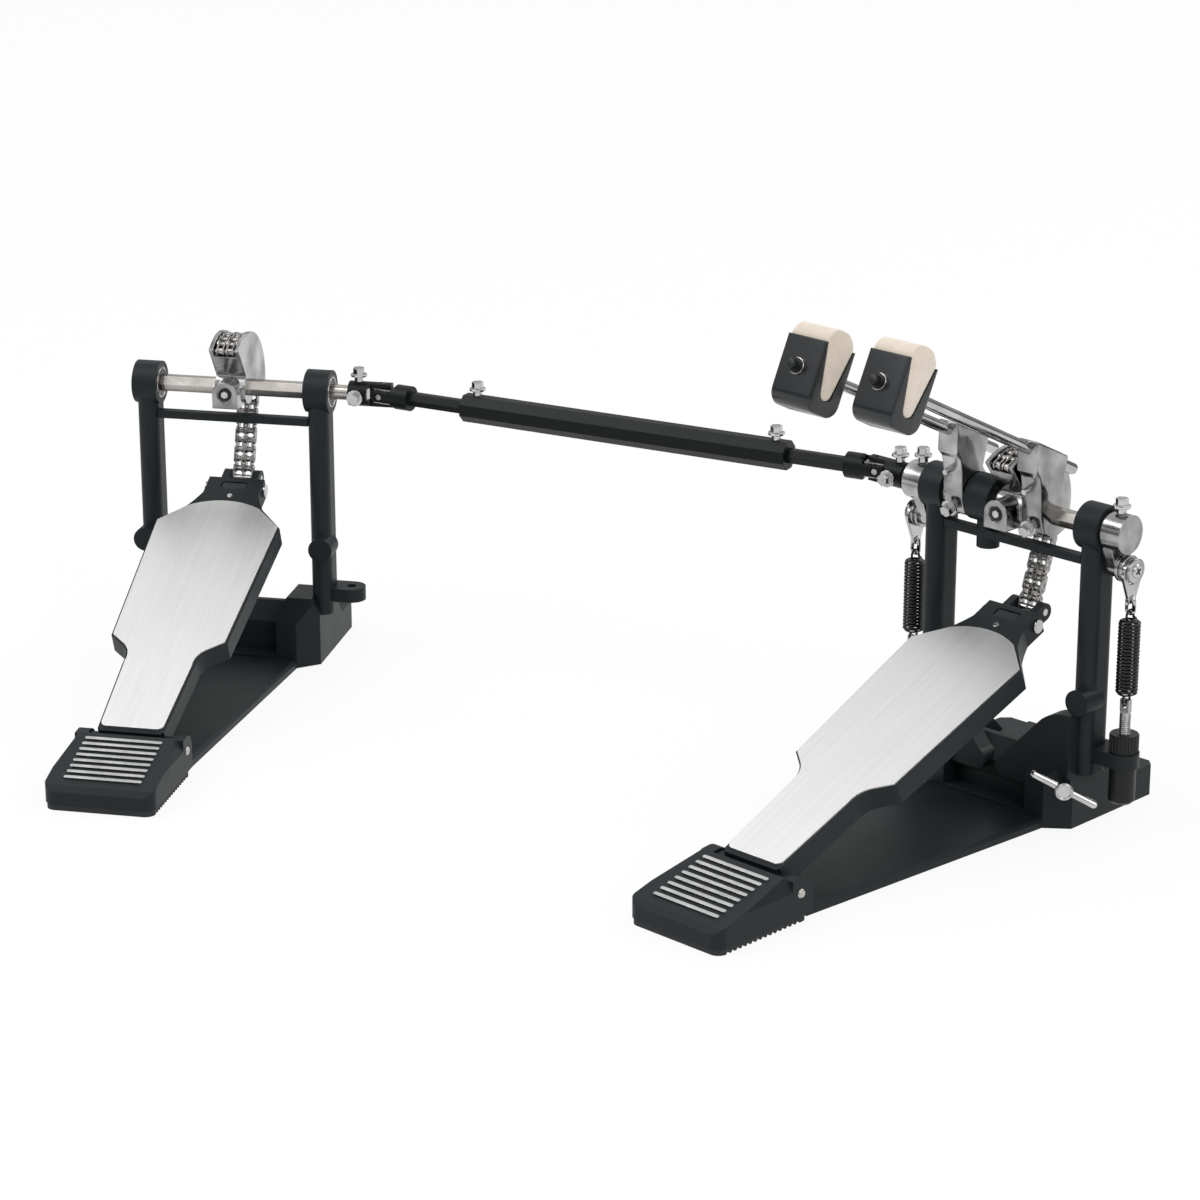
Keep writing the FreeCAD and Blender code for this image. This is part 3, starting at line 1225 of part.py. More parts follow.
def pedal_frame(prefix, casting):
    """Pieces that both pedals share, in the pedal's own frame, round a pedal's own base casting."""
    right = make_post()
    left = mirror_x(right)
    bearing = post_bearing()
    return {
        prefix + "base_plate": [make_base_plate()],
        prefix + "base_casting": [casting],
        prefix + "heel_plate": [make_heel_plate()],
        prefix + "heel_pad": [make_heel_pad()],
        prefix + "heel_pin": [make_heel_pin()],
        prefix + "post_frame": [left, right, make_crossbar()],
        prefix + "bearings": [mirror_x(bearing), bearing],
        prefix + "footboard": [make_footboard()],
        prefix + "footboard_plate": [make_foot_plate()],
        prefix + "toe_pins": make_toe_pins(),
        prefix + "chain_run": [make_chain_run()],
        prefix + "chain_bend": [make_chain_bend()],
        prefix + "chain_wrap": [make_chain_wrap()],
        prefix + "cam": [make_cam()],
    }


def hub_bolt(x, lean):
    """Bolt on the flat of a beater hub's ring that faces the player."""
    bolt = flange_bolt(BOLT_SHANK).translated(Vector(x, 0, HUB_RING / 2 + BOLT_SHANK))
    return leaned(bolt.rotated(Vector(0, 0, 0), X_AXIS, HUB_BOLT_TURN), lean)


def top_bolt(x, radius):
    return at_axle(flange_bolt(BOLT_SHANK).translated(Vector(x, 0, radius + BOLT_SHANK)))


def front_bolt(x, radius):
    bolt = flange_bolt(BOLT_SHANK).rotated(Vector(0, 0, 0), X_AXIS, 90)
    return at_axle(bolt.translated(Vector(x, -radius - BOLT_SHANK, 0)))


def make_main_pedal():
    lug = make_lug(LUG_X)
    rib = make_rib()
    casting = make_base_casting([lug, mirror_x(lug)], [rib, mirror_x(rib)]).cut(make_screw_bore())
    rod_hole = bar_z(EYE_ROD_RADIUS + PRESS_GAP, LUG_BOTTOM, LUG_TOP, LUG_X, LUG_Y)
    nodes = pedal_frame("main_", casting.cut([rod_hole, mirror_x(rod_hole)]))
    nodes["main_post_frame"].append(make_centre_bearing())
    centre_left = CENTRE_X - CENTRE_WIDTH / 2
    centre_right = CENTRE_X + CENTRE_WIDTH / 2
    nodes["main_bearings"].append(bearing_ring(centre_left, CENTRE_X - SEAT_GAP))
    nodes["main_bearings"].append(bearing_ring(CENTRE_X + SEAT_GAP, centre_right))
    tensioner = make_tensioner()
    nodes["main_spring_tensioners"] = tensioner + [mirror_x(piece) for piece in tensioner]
    nodes["hoop_clamp_jaw"] = [make_jaw()]
    nodes["hoop_clamp_pad"] = [make_jaw_pad()]
    nodes["hoop_clamp_screw"] = [make_clamp_screw()]
    hex_left = centre_right + SEAT_GAP
    hex_right = HOUSING_X - HOUSING_WIDTH / 2 - SEAT_GAP
    axle_end = ROCKER_START + ROCKER_WIDTH - AXLE_SHORT
    nodes["main_axle"] = [make_hex_axle(CENTRE_X + SEAT_GAP, hex_left, hex_right, axle_end)]
    hex_bore = even_bar(6, AXLE_HEX + 2 * PRESS_GAP, MAIN_HUB_X - HUB_WIDTH, MAIN_HUB_X + HUB_WIDTH)
    hex_bore = hex_bore.rotated(Vector(0, 0, 0), X_AXIS, -BEATER_LEAN)
    nodes["main_beater_hub"] = [make_beater_hub(MAIN_HUB_X, hex_bore, BEATER_LEAN)]
    nodes["main_rocker"] = [make_rocker()]
    rocker_middle = ROCKER_START + ROCKER_WIDTH / 2
    nodes["main_axle_bolts"] = [make_cam_screw(), hub_bolt(MAIN_HUB_X, BEATER_LEAN),
                                top_bolt(rocker_middle, ROCKER_RADIUS)]
    round_bore = bar_x(AXLE_RADIUS + PRESS_GAP, LEFT_HUB_X - HUB_WIDTH, LEFT_HUB_X + HUB_WIDTH, 0, 0)
    left_end = YOKE_SLOT_DEPTH - JOINT_X
    nodes["left_beater_axle"] = [bar_x(AXLE_RADIUS, left_end, CENTRE_X - SEAT_GAP, 0, AXLE_Z)]
    nodes["left_beater_hub"] = [make_beater_hub(LEFT_HUB_X, round_bore, LEFT_BEATER_LEAN)]
    through = bar_x(AXLE_RADIUS + PRESS_GAP, ROCKER_START, ROCKER_START + ROCKER_WIDTH, 0, AXLE_Z)
    nodes["left_rocker"] = [mirror_x(make_rocker().cut(through))]
    nodes["right_joint_yoke"] = [make_axle_yoke(1).translated(right_joint())]
    yoke_middle = -JOINT_X + (YOKE_SLOT_DEPTH + AXLE_YOKE_LENGTH) / 2
    nodes["left_beater_axle_bolts"] = [
        hub_bolt(LEFT_HUB_X, LEFT_BEATER_LEAN), top_bolt(-rocker_middle, ROCKER_RADIUS),
        top_bolt(yoke_middle, YOKE_RADIUS), front_bolt(yoke_middle, YOKE_RADIUS)]
    for prefix, x, lean in (("main_", MAIN_HUB_X, BEATER_LEAN), ("left_", LEFT_HUB_X, LEFT_BEATER_LEAN)):
        nodes[prefix + "beater_rod"] = [make_beater_rod(x, lean)]
        nodes[prefix + "beater_casing"] = [make_casing(x, lean)]
        nodes[prefix + "beater_felt"] = [make_felt(x, lean)]
    hanger = make_hanger()
    low_hook = EYE_Z + HOOK_RADIUS
    high_hook = ring_bottom() + SPRING_WIRE + SEAT_GAP - HOOK_RADIUS
    spring, gap = make_spring(LUG_X, LUG_Y, low_hook, high_hook)
    print("spring's least gap to itself, mm:", round(gap, 3))
    if gap < SPRING_LEAST_GAP:
        print("spring is wound too close")
    nodes["main_spring"] = [spring]
    nodes["main_spring_hanger"] = hanger
    nodes["left_spring"] = [mirror_x(spring)]
    nodes["left_spring_hanger"] = [mirror_x(piece) for piece in hanger]
    return nodes


def make_drive_shaft():
    cross = make_cross()
    return {
        "right_joint_cross": [on_shaft(cross, right_joint())],
        "left_joint_cross": [on_shaft(cross, left_joint())],
        "drive_shaft_tube": [on_shaft(make_shaft_tube(), left_joint())],
        "drive_shaft_bolts": [on_shaft(bolt, left_joint()) for bolt in make_shaft_bolts()],
        "drive_shaft_right_rod": [on_shaft(make_shaft_rod(-1), right_joint())],
        "drive_shaft_left_rod": [on_shaft(make_shaft_rod(1), left_joint())],
    }


def make_left_pedal():
    rod_hole = bar_z(EYE_ROD_RADIUS + PRESS_GAP, LUG_BOTTOM, LUG_TOP, LEFT_LUG_X, LUG_Y)
    nodes = pedal_frame("left_", make_base_casting([make_lug(LEFT_LUG_X)], []).cut(rod_hole))
    hex_end = HOUSING_X - HOUSING_WIDTH / 2 - SEAT_GAP
    axle_left = -HOUSING_X - HOUSING_WIDTH / 2 - AXLE_PROUD
    nodes["left_axle"] = [make_hex_axle(axle_left, -hex_end, hex_end, LEFT_JOINT_X - YOKE_SLOT_DEPTH)]
    nodes["left_joint_yoke"] = [at_axle(make_axle_yoke(-1).translated(Vector(LEFT_JOINT_X, 0, 0)))]
    yoke_middle = LEFT_JOINT_X - (YOKE_SLOT_DEPTH + AXLE_YOKE_LENGTH) / 2
    nodes["left_axle_bolts"] = [
        make_cam_screw(), top_bolt(yoke_middle, YOKE_RADIUS), front_bolt(yoke_middle, YOKE_RADIUS)]
    return {name: [left_pedal(piece) for piece in pieces] for name, pieces in nodes.items()}


def main():
    os.makedirs("parts", exist_ok=True)
    nodes = make_main_pedal()
    nodes.update(make_drive_shaft())
    nodes.update(make_left_pedal())
    for name, pieces in nodes.items():
        solids = [solid for piece in pieces for solid in piece.Solids]
        shape = solids[0] if len(solids) == 1 else Part.makeCompound(solids)
        shape.exportStep("parts/" + name + ".step")
    print(len(nodes), "nodes")


main()
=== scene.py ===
# %% [markdown]
# # A double bass drum pedal, dressed for a studio photograph
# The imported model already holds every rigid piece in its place, and each piece moves with its own
# body. This lesson keeps those solids and gives them finishes. It models again only what looks
# too plain as a solid: the chain, the springs, the beaters' heads and hubs, the hinge pins and
# small bright trim.

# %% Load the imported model
import json
import math

import bmesh
import bpy
from mathutils import Matrix, Vector


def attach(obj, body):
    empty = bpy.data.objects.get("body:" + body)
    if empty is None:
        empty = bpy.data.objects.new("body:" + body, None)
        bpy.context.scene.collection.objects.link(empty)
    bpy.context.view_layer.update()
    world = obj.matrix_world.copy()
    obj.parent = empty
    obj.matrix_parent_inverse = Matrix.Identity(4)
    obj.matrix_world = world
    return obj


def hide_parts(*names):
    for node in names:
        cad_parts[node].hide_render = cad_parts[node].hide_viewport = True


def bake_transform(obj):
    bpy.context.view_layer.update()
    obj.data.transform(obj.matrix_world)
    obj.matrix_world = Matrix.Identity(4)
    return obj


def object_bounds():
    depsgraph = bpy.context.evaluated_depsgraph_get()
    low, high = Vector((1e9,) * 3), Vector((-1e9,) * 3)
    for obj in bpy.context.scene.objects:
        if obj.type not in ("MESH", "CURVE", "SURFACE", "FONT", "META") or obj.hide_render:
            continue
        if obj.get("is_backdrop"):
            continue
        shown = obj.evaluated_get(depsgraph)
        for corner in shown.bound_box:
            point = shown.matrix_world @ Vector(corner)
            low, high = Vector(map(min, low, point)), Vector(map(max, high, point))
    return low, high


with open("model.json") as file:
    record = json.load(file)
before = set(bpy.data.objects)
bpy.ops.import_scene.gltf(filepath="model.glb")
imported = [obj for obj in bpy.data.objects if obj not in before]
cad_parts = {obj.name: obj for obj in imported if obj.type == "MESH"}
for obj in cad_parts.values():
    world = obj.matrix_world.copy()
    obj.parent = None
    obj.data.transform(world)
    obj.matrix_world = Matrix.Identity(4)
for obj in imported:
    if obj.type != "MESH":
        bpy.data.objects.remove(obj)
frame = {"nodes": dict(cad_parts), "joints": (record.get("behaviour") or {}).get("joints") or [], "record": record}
cad_low, cad_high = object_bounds()
scene = bpy.context.scene
MM = 0.001
print("nodes", len(frame["nodes"]), "box", [round(v, 3) for v in cad_high - cad_low])

# %% [markdown]
# ## The camera first
# The photograph is a long-lens picture from the player's right, a little above the pedals. The
# camera could be placed by eye, but its angles and distance were fitted to the edges of the object,
# so they are written here as real sizes. Its lens follows from the picture's width in pixels.

# %% Camera at the photograph's angle
CAMERA_AZIMUTH = math.radians(44.3)
CAMERA_ELEVATION = math.radians(18.8)
CAMERA_PLACE = Vector((1302.5, -1691.3, 848.8)) * MM
PICTURE_WIDTH = 1200
FOCAL_PIXELS = 3741

camera_data = bpy.data.cameras.new("studio_camera")
camera_data.sensor_width = 36.0
camera_data.sensor_fit = "HORIZONTAL"
camera_data.lens = FOCAL_PIXELS / PICTURE_WIDTH * camera_data.sensor_width
camera = bpy.data.objects.new("studio_camera", camera_data)
camera.location = CAMERA_PLACE
camera.rotation_euler = (math.pi / 2 - CAMERA_ELEVATION, 0, CAMERA_AZIMUTH)
scene.collection.objects.link(camera)
scene.camera = camera
print("lens", round(camera_data.lens, 1), "mm")

# %% [markdown]
# ## Expressions instead of node spaghetti
# A finish is a small network of shader nodes. Every node could be added and linked by hand, but the
# sums are easier to read as sums, so one class wraps a socket and turns arithmetic into Math nodes.
# A second class holds a node tree and has the one method that makes any other node, and a finish is
# such a tree with a surface shader in it.

# %% A socket that can do arithmetic
class Value:
    """An output socket of a finish; arithmetic on it adds Math nodes."""

    def __init__(self, finish, socket):
        self.finish = finish
        self.socket = socket

    def math(self, operation, first, second=0.0):
        return self.finish.node("ShaderNodeMath", {"operation": operation}, {0: first, 1: second})

    def __add__(self, other):
        return self.math("ADD", self, other)

    def __radd__(self, other):
        return self.math("ADD", other, self)

    def __sub__(self, other):
        return self.math("SUBTRACT", self, other)

    def __rsub__(self, other):
        return self.math("SUBTRACT", other, self)

    def __mul__(self, other):
        return self.math("MULTIPLY", self, other)

    def __rmul__(self, other):
        return self.math("MULTIPLY", other, self)

    def __gt__(self, other):
        return self.math("GREATER_THAN", self, other)

    def __lt__(self, other):
        return self.math("LESS_THAN", self, other)

    def __abs__(self):
        return self.math("ABSOLUTE", self)


print("sockets can do arithmetic")


# %% A node tree with one way to add nodes
class Tree:
    """The nodes of a material or of the world."""

    def __init__(self, owner):
        owner.use_nodes = True
        self.tree = owner.node_tree

    def node(self, kind, settings=None, sockets=None, output=0):
        made = self.tree.nodes.new(kind)
        for key, value in (settings or {}).items():
            setattr(made, key, value)
        for key, value in (sockets or {}).items():
            self.feed(made.inputs[key], value)
        return Value(self, made.outputs[output])

    def feed(self, socket, value):
        if isinstance(value, Value):
            self.tree.links.new(value.socket, socket)
        else:
            socket.default_value = value

    def blend(self, factor, low, high):
        return self.node("ShaderNodeMix", {"data_type": "RGBA"}, {0: factor, 6: low, 7: high}, output=2)

    def between(self, value, low, high):
        """0 below low, 1 above high, and straight between them."""
        return self.node("ShaderNodeMapRange", None, {0: value, 1: low, 2: high})


print("node trees ready")


# %% A finish on top of it
class Finish(Tree):
    """One material: its shader's fixed numbers, and nodes that vary over the surface."""

    def __init__(self, name, constants=None):
        self.material = bpy.data.materials.new(name)
        super().__init__(self.material)
        self.shader = self.tree.nodes["Principled BSDF"]
        for socket, value in (constants or {}).items():
            self.shader.inputs[socket].default_value = value

    def drive(self, name, value):
        self.feed(self.shader.inputs[name], value)

    def place(self):
        return self.node("ShaderNodeTexCoord", output="Object")

    def stretch(self, vector, scale):
        return self.node("ShaderNodeVectorMath", {"operation": "MULTIPLY"}, {0: vector, 1: scale})

    def noise(self, scale, detail=3.0, vector=None):
        sockets = {"Vector": vector or self.place(), "Scale": scale, "Detail": detail}
        return self.node("ShaderNodeTexNoise", None, sockets)

    def relief(self, height, depth, strength=1.0, edge=None):
        """Bump on top of softly rounded edges, into the shader's normal."""
        sockets = {"Height": height, "Distance": depth, "Strength": strength}
        if edge:
            sockets["Normal"] = self.node("ShaderNodeBevel", {"samples": 4}, {"Radius": edge})
        self.drive("Normal", self.node("ShaderNodeBump", None, sockets))


def grey(level, warm=0.0):
    """A grey in linear light, a little warmer or cooler."""
    return (level * (1 + warm), level, level * (1 - warm), 1.0)


print("finish tools ready")

# %% [markdown]
# ## Charcoal powder coat
# The castings, posts and heel plates are sprayed with a powder that melts into a satin charcoal skin
# with a very fine grain. A plain dark colour would look like paper, so a fine noise makes the grain,
# a broad one changes the sheen a little, and the bevelled normal catches light along the edges.

# %% Powder coat on the castings
def make_powder_coat(name, level, roughness):
    coat = Finish(name, {"Specular IOR Level": 0.17})
    broad = coat.noise(28.0, 2.0)
    grain = coat.noise(1700.0, 2.0)
    dark = (level * 0.62, level * 0.86, level * 0.98, 1)
    pale = (level * 0.84, level * 1.14, level * 1.26, 1)
    coat.drive("Base Color", coat.blend(broad, dark, pale))
    coat.drive("Roughness", roughness - 0.06 + broad * 0.12)
    coat.relief(grain, 0.00006, 0.55, edge=0.0007)
    return coat.material


powder_coat = make_powder_coat("charcoal_powder_coat", 0.016, 0.44)
shaft_coat = make_powder_coat("black_shaft_coat", 0.006, 0.40)
print("powder coats made")

# %% [markdown]
# ## Brushed plates
# Each footboard carries a stainless sheet that was drawn over an abrasive belt along its length. The
# scratches could be a picture, but stretched noise gives them at any size. The sheet is sloped and,
# on the left pedal, turned, so two Mapping nodes bring the scratches into line with the board.

# %% Brushed steel along the board
BOARD_SLOPE = math.radians(21.8)


def make_brushed_plate(name, heading):
    plate = Finish(name, {"Metallic": 1.0})
    along = plate.place()
    along = plate.node("ShaderNodeMapping", None, {"Vector": along, "Rotation": (0, 0, -heading)})
    along = plate.node("ShaderNodeMapping", None, {"Vector": along, "Rotation": (-BOARD_SLOPE, 0, 0)})
    fine = plate.noise(1.0, 3.0, plate.stretch(along, (2600.0, 24.0, 2600.0)))
    bands = plate.noise(1.0, 2.0, plate.stretch(along, (420.0, 5.0, 420.0)))
    cloud = plate.noise(14.0, 2.0)
    streak = fine * 0.55 + bands * 0.30 + cloud * 0.15
    height = plate.node("ShaderNodeSeparateXYZ", None, {0: plate.place()}, output="Z")
    # Higher up the board the sheet's colour turns darker: a painted shade, not wear.
    painted_shade_higher_up = plate.between(height, 0.04, 0.12)
    low = plate.blend(painted_shade_higher_up, grey(0.68, 0.004), grey(0.56, 0.004))
    high = plate.blend(painted_shade_higher_up, grey(1.0, 0.004), grey(0.86, 0.004))
    plate.drive("Base Color", plate.blend(streak, low, high))
    plate.drive("Roughness", 0.27 + streak * 0.22)
    plate.relief(fine, 0.00003, 0.35, edge=0.0005)
    return plate.material


left_axle_joint = next(j for j in frame["joints"] if j["name"] == "left_axle_turn")
left_axle_place = Vector(left_axle_joint["pos_m"])
left_axle_line = -Vector(left_axle_joint["axis"])
LEFT_HEADING = math.atan2(left_axle_line.y, left_axle_line.x)
main_plate = make_brushed_plate("brushed_main_plate", 0.0)
left_plate = make_brushed_plate("brushed_left_plate", LEFT_HEADING)
print("left pedal turned by", round(math.degrees(LEFT_HEADING), 1), "degrees")

# %% [markdown]
# ## Bright metals
# Hubs, cams and rockers are polished castings under a thin plating, so their faces wave a little. The
# bolts, rods and handle are smooth chrome, the axles are nickel with turning marks, and the chain is
# oiled steel. In each of them the colour turns lighter and darker in patches, a painted reflection.
# One function makes them all, because they differ only in numbers.

# %% Cast, turned and plated metal
def make_bright_metal(name, low, high, rough, patch, wave, edge, warm=0.0):
    metal = Finish(name, {"Metallic": 1.0})
    # The patches of lighter and darker colour below are a painted reflection.
    broad = metal.between(metal.noise(patch, 2.0), 0.32, 0.68)
    fine = metal.noise(patch * 9.0, 2.0)
    metal.drive("Base Color", metal.blend(broad, grey(low, warm), grey(high, warm)))
    metal.drive("Roughness", rough + broad * rough * 0.8)
    metal.relief(broad * 0.7 + fine * 0.3, wave, 0.5, edge=edge)
    return metal.material


cast_silver = make_bright_metal("polished_casting", 0.18, 0.52, 0.12, 45.0, 0.00030, 0.0013)
grip_silver = make_bright_metal("grip_bar_silver", 0.46, 0.62, 0.24, 90.0, 0.00003, 0.0006)
chrome = make_bright_metal("chrome_plate", 0.42, 0.58, 0.08, 60.0, 0.00010, 0.0008)
nickel = make_bright_metal("nickel_axle", 0.38, 0.52, 0.17, 60.0, 0.00003, 0.0006, 0.06)
bearing_shield = make_bright_metal("bearing_shield", 0.05, 0.12, 0.30, 200.0, 0.00005, 0.0004)
chain_steel = make_bright_metal("oiled_chain_steel", 0.16, 0.50, 0.20, 420.0, 0.00008, 0.0002, 0.03)
rod_steel = make_bright_metal("tension_rod_steel", 0.28, 0.50, 0.25, 300.0, 0.00006, 0.0002, 0.02)
print("bright metals made")

# %% [markdown]
# ## Black wire, rubber and moulded plastic
# The springs are blackened wire with a soft shine, the soles and jaw pad are dull rubber, and the
# beaters' casings are moulded in black plastic with a satin face. They are all dark dielectrics, and
# they differ in roughness, in grain and in how soft their edges are.

# %% Dark finishes
def make_dark(name, level, rough, grain_scale, grain_depth, edge, shine=0.5):
    dark = Finish(name, {"Specular IOR Level": shine})
    broad = dark.noise(60.0, 2.0)
    grain = dark.noise(grain_scale, 3.0)
    dark.drive("Base Color", dark.blend(broad, grey(level * 0.8, -0.14), grey(level * 1.25, -0.14)))
    dark.drive("Roughness", rough - 0.05 + broad * 0.1)
    dark.relief(grain, grain_depth, 0.5, edge=edge)
    return dark.material


spring_black = make_dark("blackened_spring_wire", 0.006, 0.32, 900.0, 0.00003, None, 0.35)
black_nuts_and_recess_shade = make_dark("black_nut_and_painted_recess_shade", 0.008, 0.34, 900.0, 0.00004, 0.0004, 0.35)
rubber = make_dark("sole_rubber", 0.013, 0.72, 1100.0, 0.00010, 0.0004)
casing_plastic = make_dark("moulded_casing", 0.012, 0.22, 1500.0, 0.00003, 0.0012, 0.5)
print("dark finishes made")

# %% [markdown]
# ## Pressed felt
# The striking face is a wedge of pressed wool felt, cream with slightly darker fibres. Hair would be
# too heavy for so small a piece, so layers of noise tint the fibres and raise them a little, and a
# constant sheen gives the soft rim that wool has.

# %% Wool felt
def make_wool_felt(name):
    felt = Finish(name, {"Sheen Weight": 0.35, "Sheen Roughness": 0.6, "Specular IOR Level": 0.15})
    clump = felt.noise(170.0, 4.0)
    fibre = felt.noise(1.0, 4.0, felt.stretch(felt.place(), (2200.0, 900.0, 900.0)))
    tint = clump * 0.5 + fibre * 0.5
    felt.drive("Base Color", felt.blend(tint, (0.52, 0.44, 0.36, 1), (0.80, 0.72, 0.62, 1)))
    felt.drive("Roughness", 0.86 + fibre * 0.14)
    felt.relief(clump * 0.4 + fibre * 0.6, 0.0004, 0.8)
    return felt.material


wool_felt = make_wool_felt("pressed_wool_felt")
print("felt made")

# %% [markdown]
# ## Two finishes on one solid
# A tensioner's rod is bare steel, and the nuts on it are black. They are one node, so the finish asks
# how far a point is from the rod's own line: close to it is steel, and further out is a nut.

# %% Tensioner finish
spring_joint = next(j for j in frame["joints"] if j["name"] == "main_spring_swing")
SPRING_PLACE = Vector(spring_joint["pos_m"])
ROD_SHARE = 3.45 * MM


def make_tensioner_finish(name):
    finish = Finish(name, {"Specular IOR Level": 0.3})
    parts = finish.node("ShaderNodeSeparateXYZ", None, {0: finish.place()})
    across = parts.socket.node.outputs
    from_x = abs(abs(Value(finish, across[0])) - SPRING_PLACE.x)
    from_y = abs(Value(finish, across[1]) - SPRING_PLACE.y)
    distance = from_x.math("SQRT", from_x * from_x + from_y * from_y)
    nut = distance > ROD_SHARE
    broad = finish.noise(300.0, 3.0)
    steel = finish.blend(broad, grey(0.28, 0.02), grey(0.52, 0.02))
    finish.drive("Base Color", finish.blend(nut, steel, grey(0.006, -0.1)))
    finish.drive("Metallic", 1 - nut)
    finish.drive("Roughness", 0.27 + nut * 0.13 + broad * 0.06)
    finish.relief(broad, 0.00005, 0.4, edge=0.0005)
    return finish.material


tensioner_finish = make_tensioner_finish("tensioner_steel_and_nuts")
print("spring line at", [round(v, 4) for v in SPRING_PLACE])

# %% [markdown]
# ## Finishes onto the solids
# The record says which finish each node belongs to. Most nodes take the finish of their slot, and a
# few need their own: the nickel axles, the two brushed plates and the tensioners.

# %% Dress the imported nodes
slot_finish = {
    "black_coat": powder_coat,
    "brushed_plate": main_plate,
    "cast_silver": cast_silver,
    "chrome": chrome,
    "steel": chain_steel,
    "black_steel": spring_black,
    "rubber": rubber,
    "casing": casing_plastic,
    "felt": wool_felt,
}
own_finish = {
    "main_axle": nickel,
    "left_axle": nickel,
    "left_beater_axle": nickel,
    "main_bearings": bearing_shield,
    "left_bearings": bearing_shield,
    "left_footboard_plate": left_plate,
    "main_spring_tensioners": tensioner_finish,
    "drive_shaft_tube": shaft_coat,
    "drive_shaft_right_rod": shaft_coat,
    "drive_shaft_left_rod": shaft_coat,
    "right_joint_yoke": shaft_coat,
    "left_joint_yoke": shaft_coat,
    "main_spring_hanger": chrome,
    "left_spring_hanger": chrome,
}
for subpart in frame["record"]["subparts"]:
    node = subpart["node"]
    finish = own_finish.get(node, slot_finish[subpart["material_slot"]])
    solid = frame["nodes"][node]
    if not solid.material_slots:
        solid.data.materials.append(finish)
    for slot in solid.material_slots:
        slot.material = finish

# %% [markdown]
# ## Tools for new pieces
# Each new piece is drawn into a bmesh in metres, where it belongs on the object, so that its own
# object stays at the origin. A rod between two points, a plate drawn out along X, a softened edge and
# a wire drawn on by spin are all that most pieces need.

# %% Piece helpers
def rod(bm, start, end, radius, sides=16, tip=None):
    """Round bar between two points, with an optional smaller radius at its end."""
    along = end - start
    turn = along.to_track_quat("Z", "Y").to_matrix().to_4x4()
    place = Matrix.Translation((start + end) / 2) @ turn
    far = radius if tip is None else tip
    made = bmesh.ops.create_cone(bm, cap_ends=True, segments=sides, radius1=radius, radius2=far,
                                 depth=along.length, matrix=place)
    return made["verts"]


def drawn_plate(bm, outline, x0, x1):
    """Outline in Y and Z, drawn out along X."""
    face = bm.faces.new([bm.verts.new((x0, y, z)) for y, z in outline])
    made = bmesh.ops.extrude_face_region(bm, geom=[face])
    moved = [item for item in made["geom"] if isinstance(item, bmesh.types.BMVert)]
    bmesh.ops.translate(bm, verts=moved, vec=(x1 - x0, 0, 0))
    return list(face.verts) + moved


def soften(bm, edges, offset, segments=3, clamp=False):
    """Rounds edges, as on a moulding or a broken corner."""
    return bmesh.ops.bevel(bm, geom=edges, offset=offset, segments=segments, profile=0.5,
                           affect="EDGES", material=-1, clamp_overlap=clamp)


def across_rims(bm):
    """The edges of a drawn plate that lie in its two end faces."""
    return [edge for edge in bm.edges if abs(edge.verts[0].co.x - edge.verts[1].co.x) < 1e-6]


def wire_section(bm, place, radius, sides, closed=False):
    """A round section of wire, as the list of parts that spin draws on."""
    made = bmesh.ops.create_circle(bm, cap_ends=closed, segments=sides, radius=radius, matrix=place)
    parts = [item for vert in made["verts"] for item in (vert, *vert.link_edges, *vert.link_faces)]
    return list(dict.fromkeys(parts))


def finish_piece(name, bm, finish, body, smooth=35.0):
    """Closes a bmesh into a piece that rides on a body, or on none where no body is named."""
    bmesh.ops.remove_doubles(bm, verts=bm.verts, dist=1e-7)
    bmesh.ops.recalc_face_normals(bm, faces=bm.faces)
    mesh = bpy.data.meshes.new(name)
    bm.to_mesh(mesh)
    bm.free()
    mesh.shade_smooth()
    mesh.set_sharp_from_angle(angle=math.radians(smooth))
    mesh.materials.append(finish)
    piece = bpy.data.objects.new(name, mesh)
    scene.collection.objects.link(piece)
    if body:
        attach(piece, body)
    print(name, len(mesh.polygons), "faces on", body)
    return piece


def left_place():
    """From the left pedal's own frame to where it stands."""
    origin = Vector((left_axle_place.x, left_axle_place.y, 0))
    return Matrix.Translation(origin) @ Matrix.Rotation(LEFT_HEADING, 4, "Z")


PEDALS = {"main": Matrix.Identity(4), "left": left_place()}
SIDES = {"main": 1, "left": -1}
BEATER_AXLES = {"main": "main_axle", "left": "left_beater_axle"}
print("left pedal at", [round(v, 3) for v in PEDALS["left"].translation])

# %% [markdown]
# ## The duplex chain
# Two rows of rollers run side by side on shared pins, between waisted link plates that overlap in
# turn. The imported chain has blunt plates, so here each link is drawn with round ends, real rollers and
# pins. The pins follow the same rule as the solids: a straight run that touches the cam's pitch
# circle, then steps of one pitch round it. The chain leaves the cam in a stroke, so it is three
# pieces on three bodies.

# %% Where the chain's pins are
PITCH = 6.35 * MM
AXLE_HEIGHT = left_axle_place.z
CAM_RADIUS = 33.0 * MM
CAM_END = math.radians(126.0)
toe_joint = next(j for j in frame["joints"] if j["name"] == "main_chain_swing")
TOE = (toe_joint["pos_m"][1], toe_joint["pos_m"][2])
BEND_LINKS = 4

toe_span = math.hypot(TOE[0], AXLE_HEIGHT - TOE[1])
run_lean = math.asin(CAM_RADIUS / toe_span) - math.atan2(TOE[0], AXLE_HEIGHT - TOE[1])
run_step = (math.sin(run_lean), math.cos(run_lean))
run_free = math.sqrt(toe_span ** 2 - CAM_RADIUS ** 2)
run_count = int(run_free / PITCH)
run_places = [PITCH * i for i in range(run_count + 1)]
run_pins = [(TOE[0] + run_step[0] * far, TOE[1] + run_step[1] * far) for far in run_places]

cam_turn = 2 * math.asin(PITCH / 2 / CAM_RADIUS)
cam_angle = cam_turn - (run_free - PITCH * run_count) / CAM_RADIUS - run_lean
cam_pins = [run_pins[-1]]
while cam_angle < CAM_END:
    cam_pins.append((CAM_RADIUS * math.cos(cam_angle), AXLE_HEIGHT + CAM_RADIUS * math.sin(cam_angle)))
    cam_angle += cam_turn
print(len(run_pins), "pins in the run,", len(cam_pins), "on the cam")

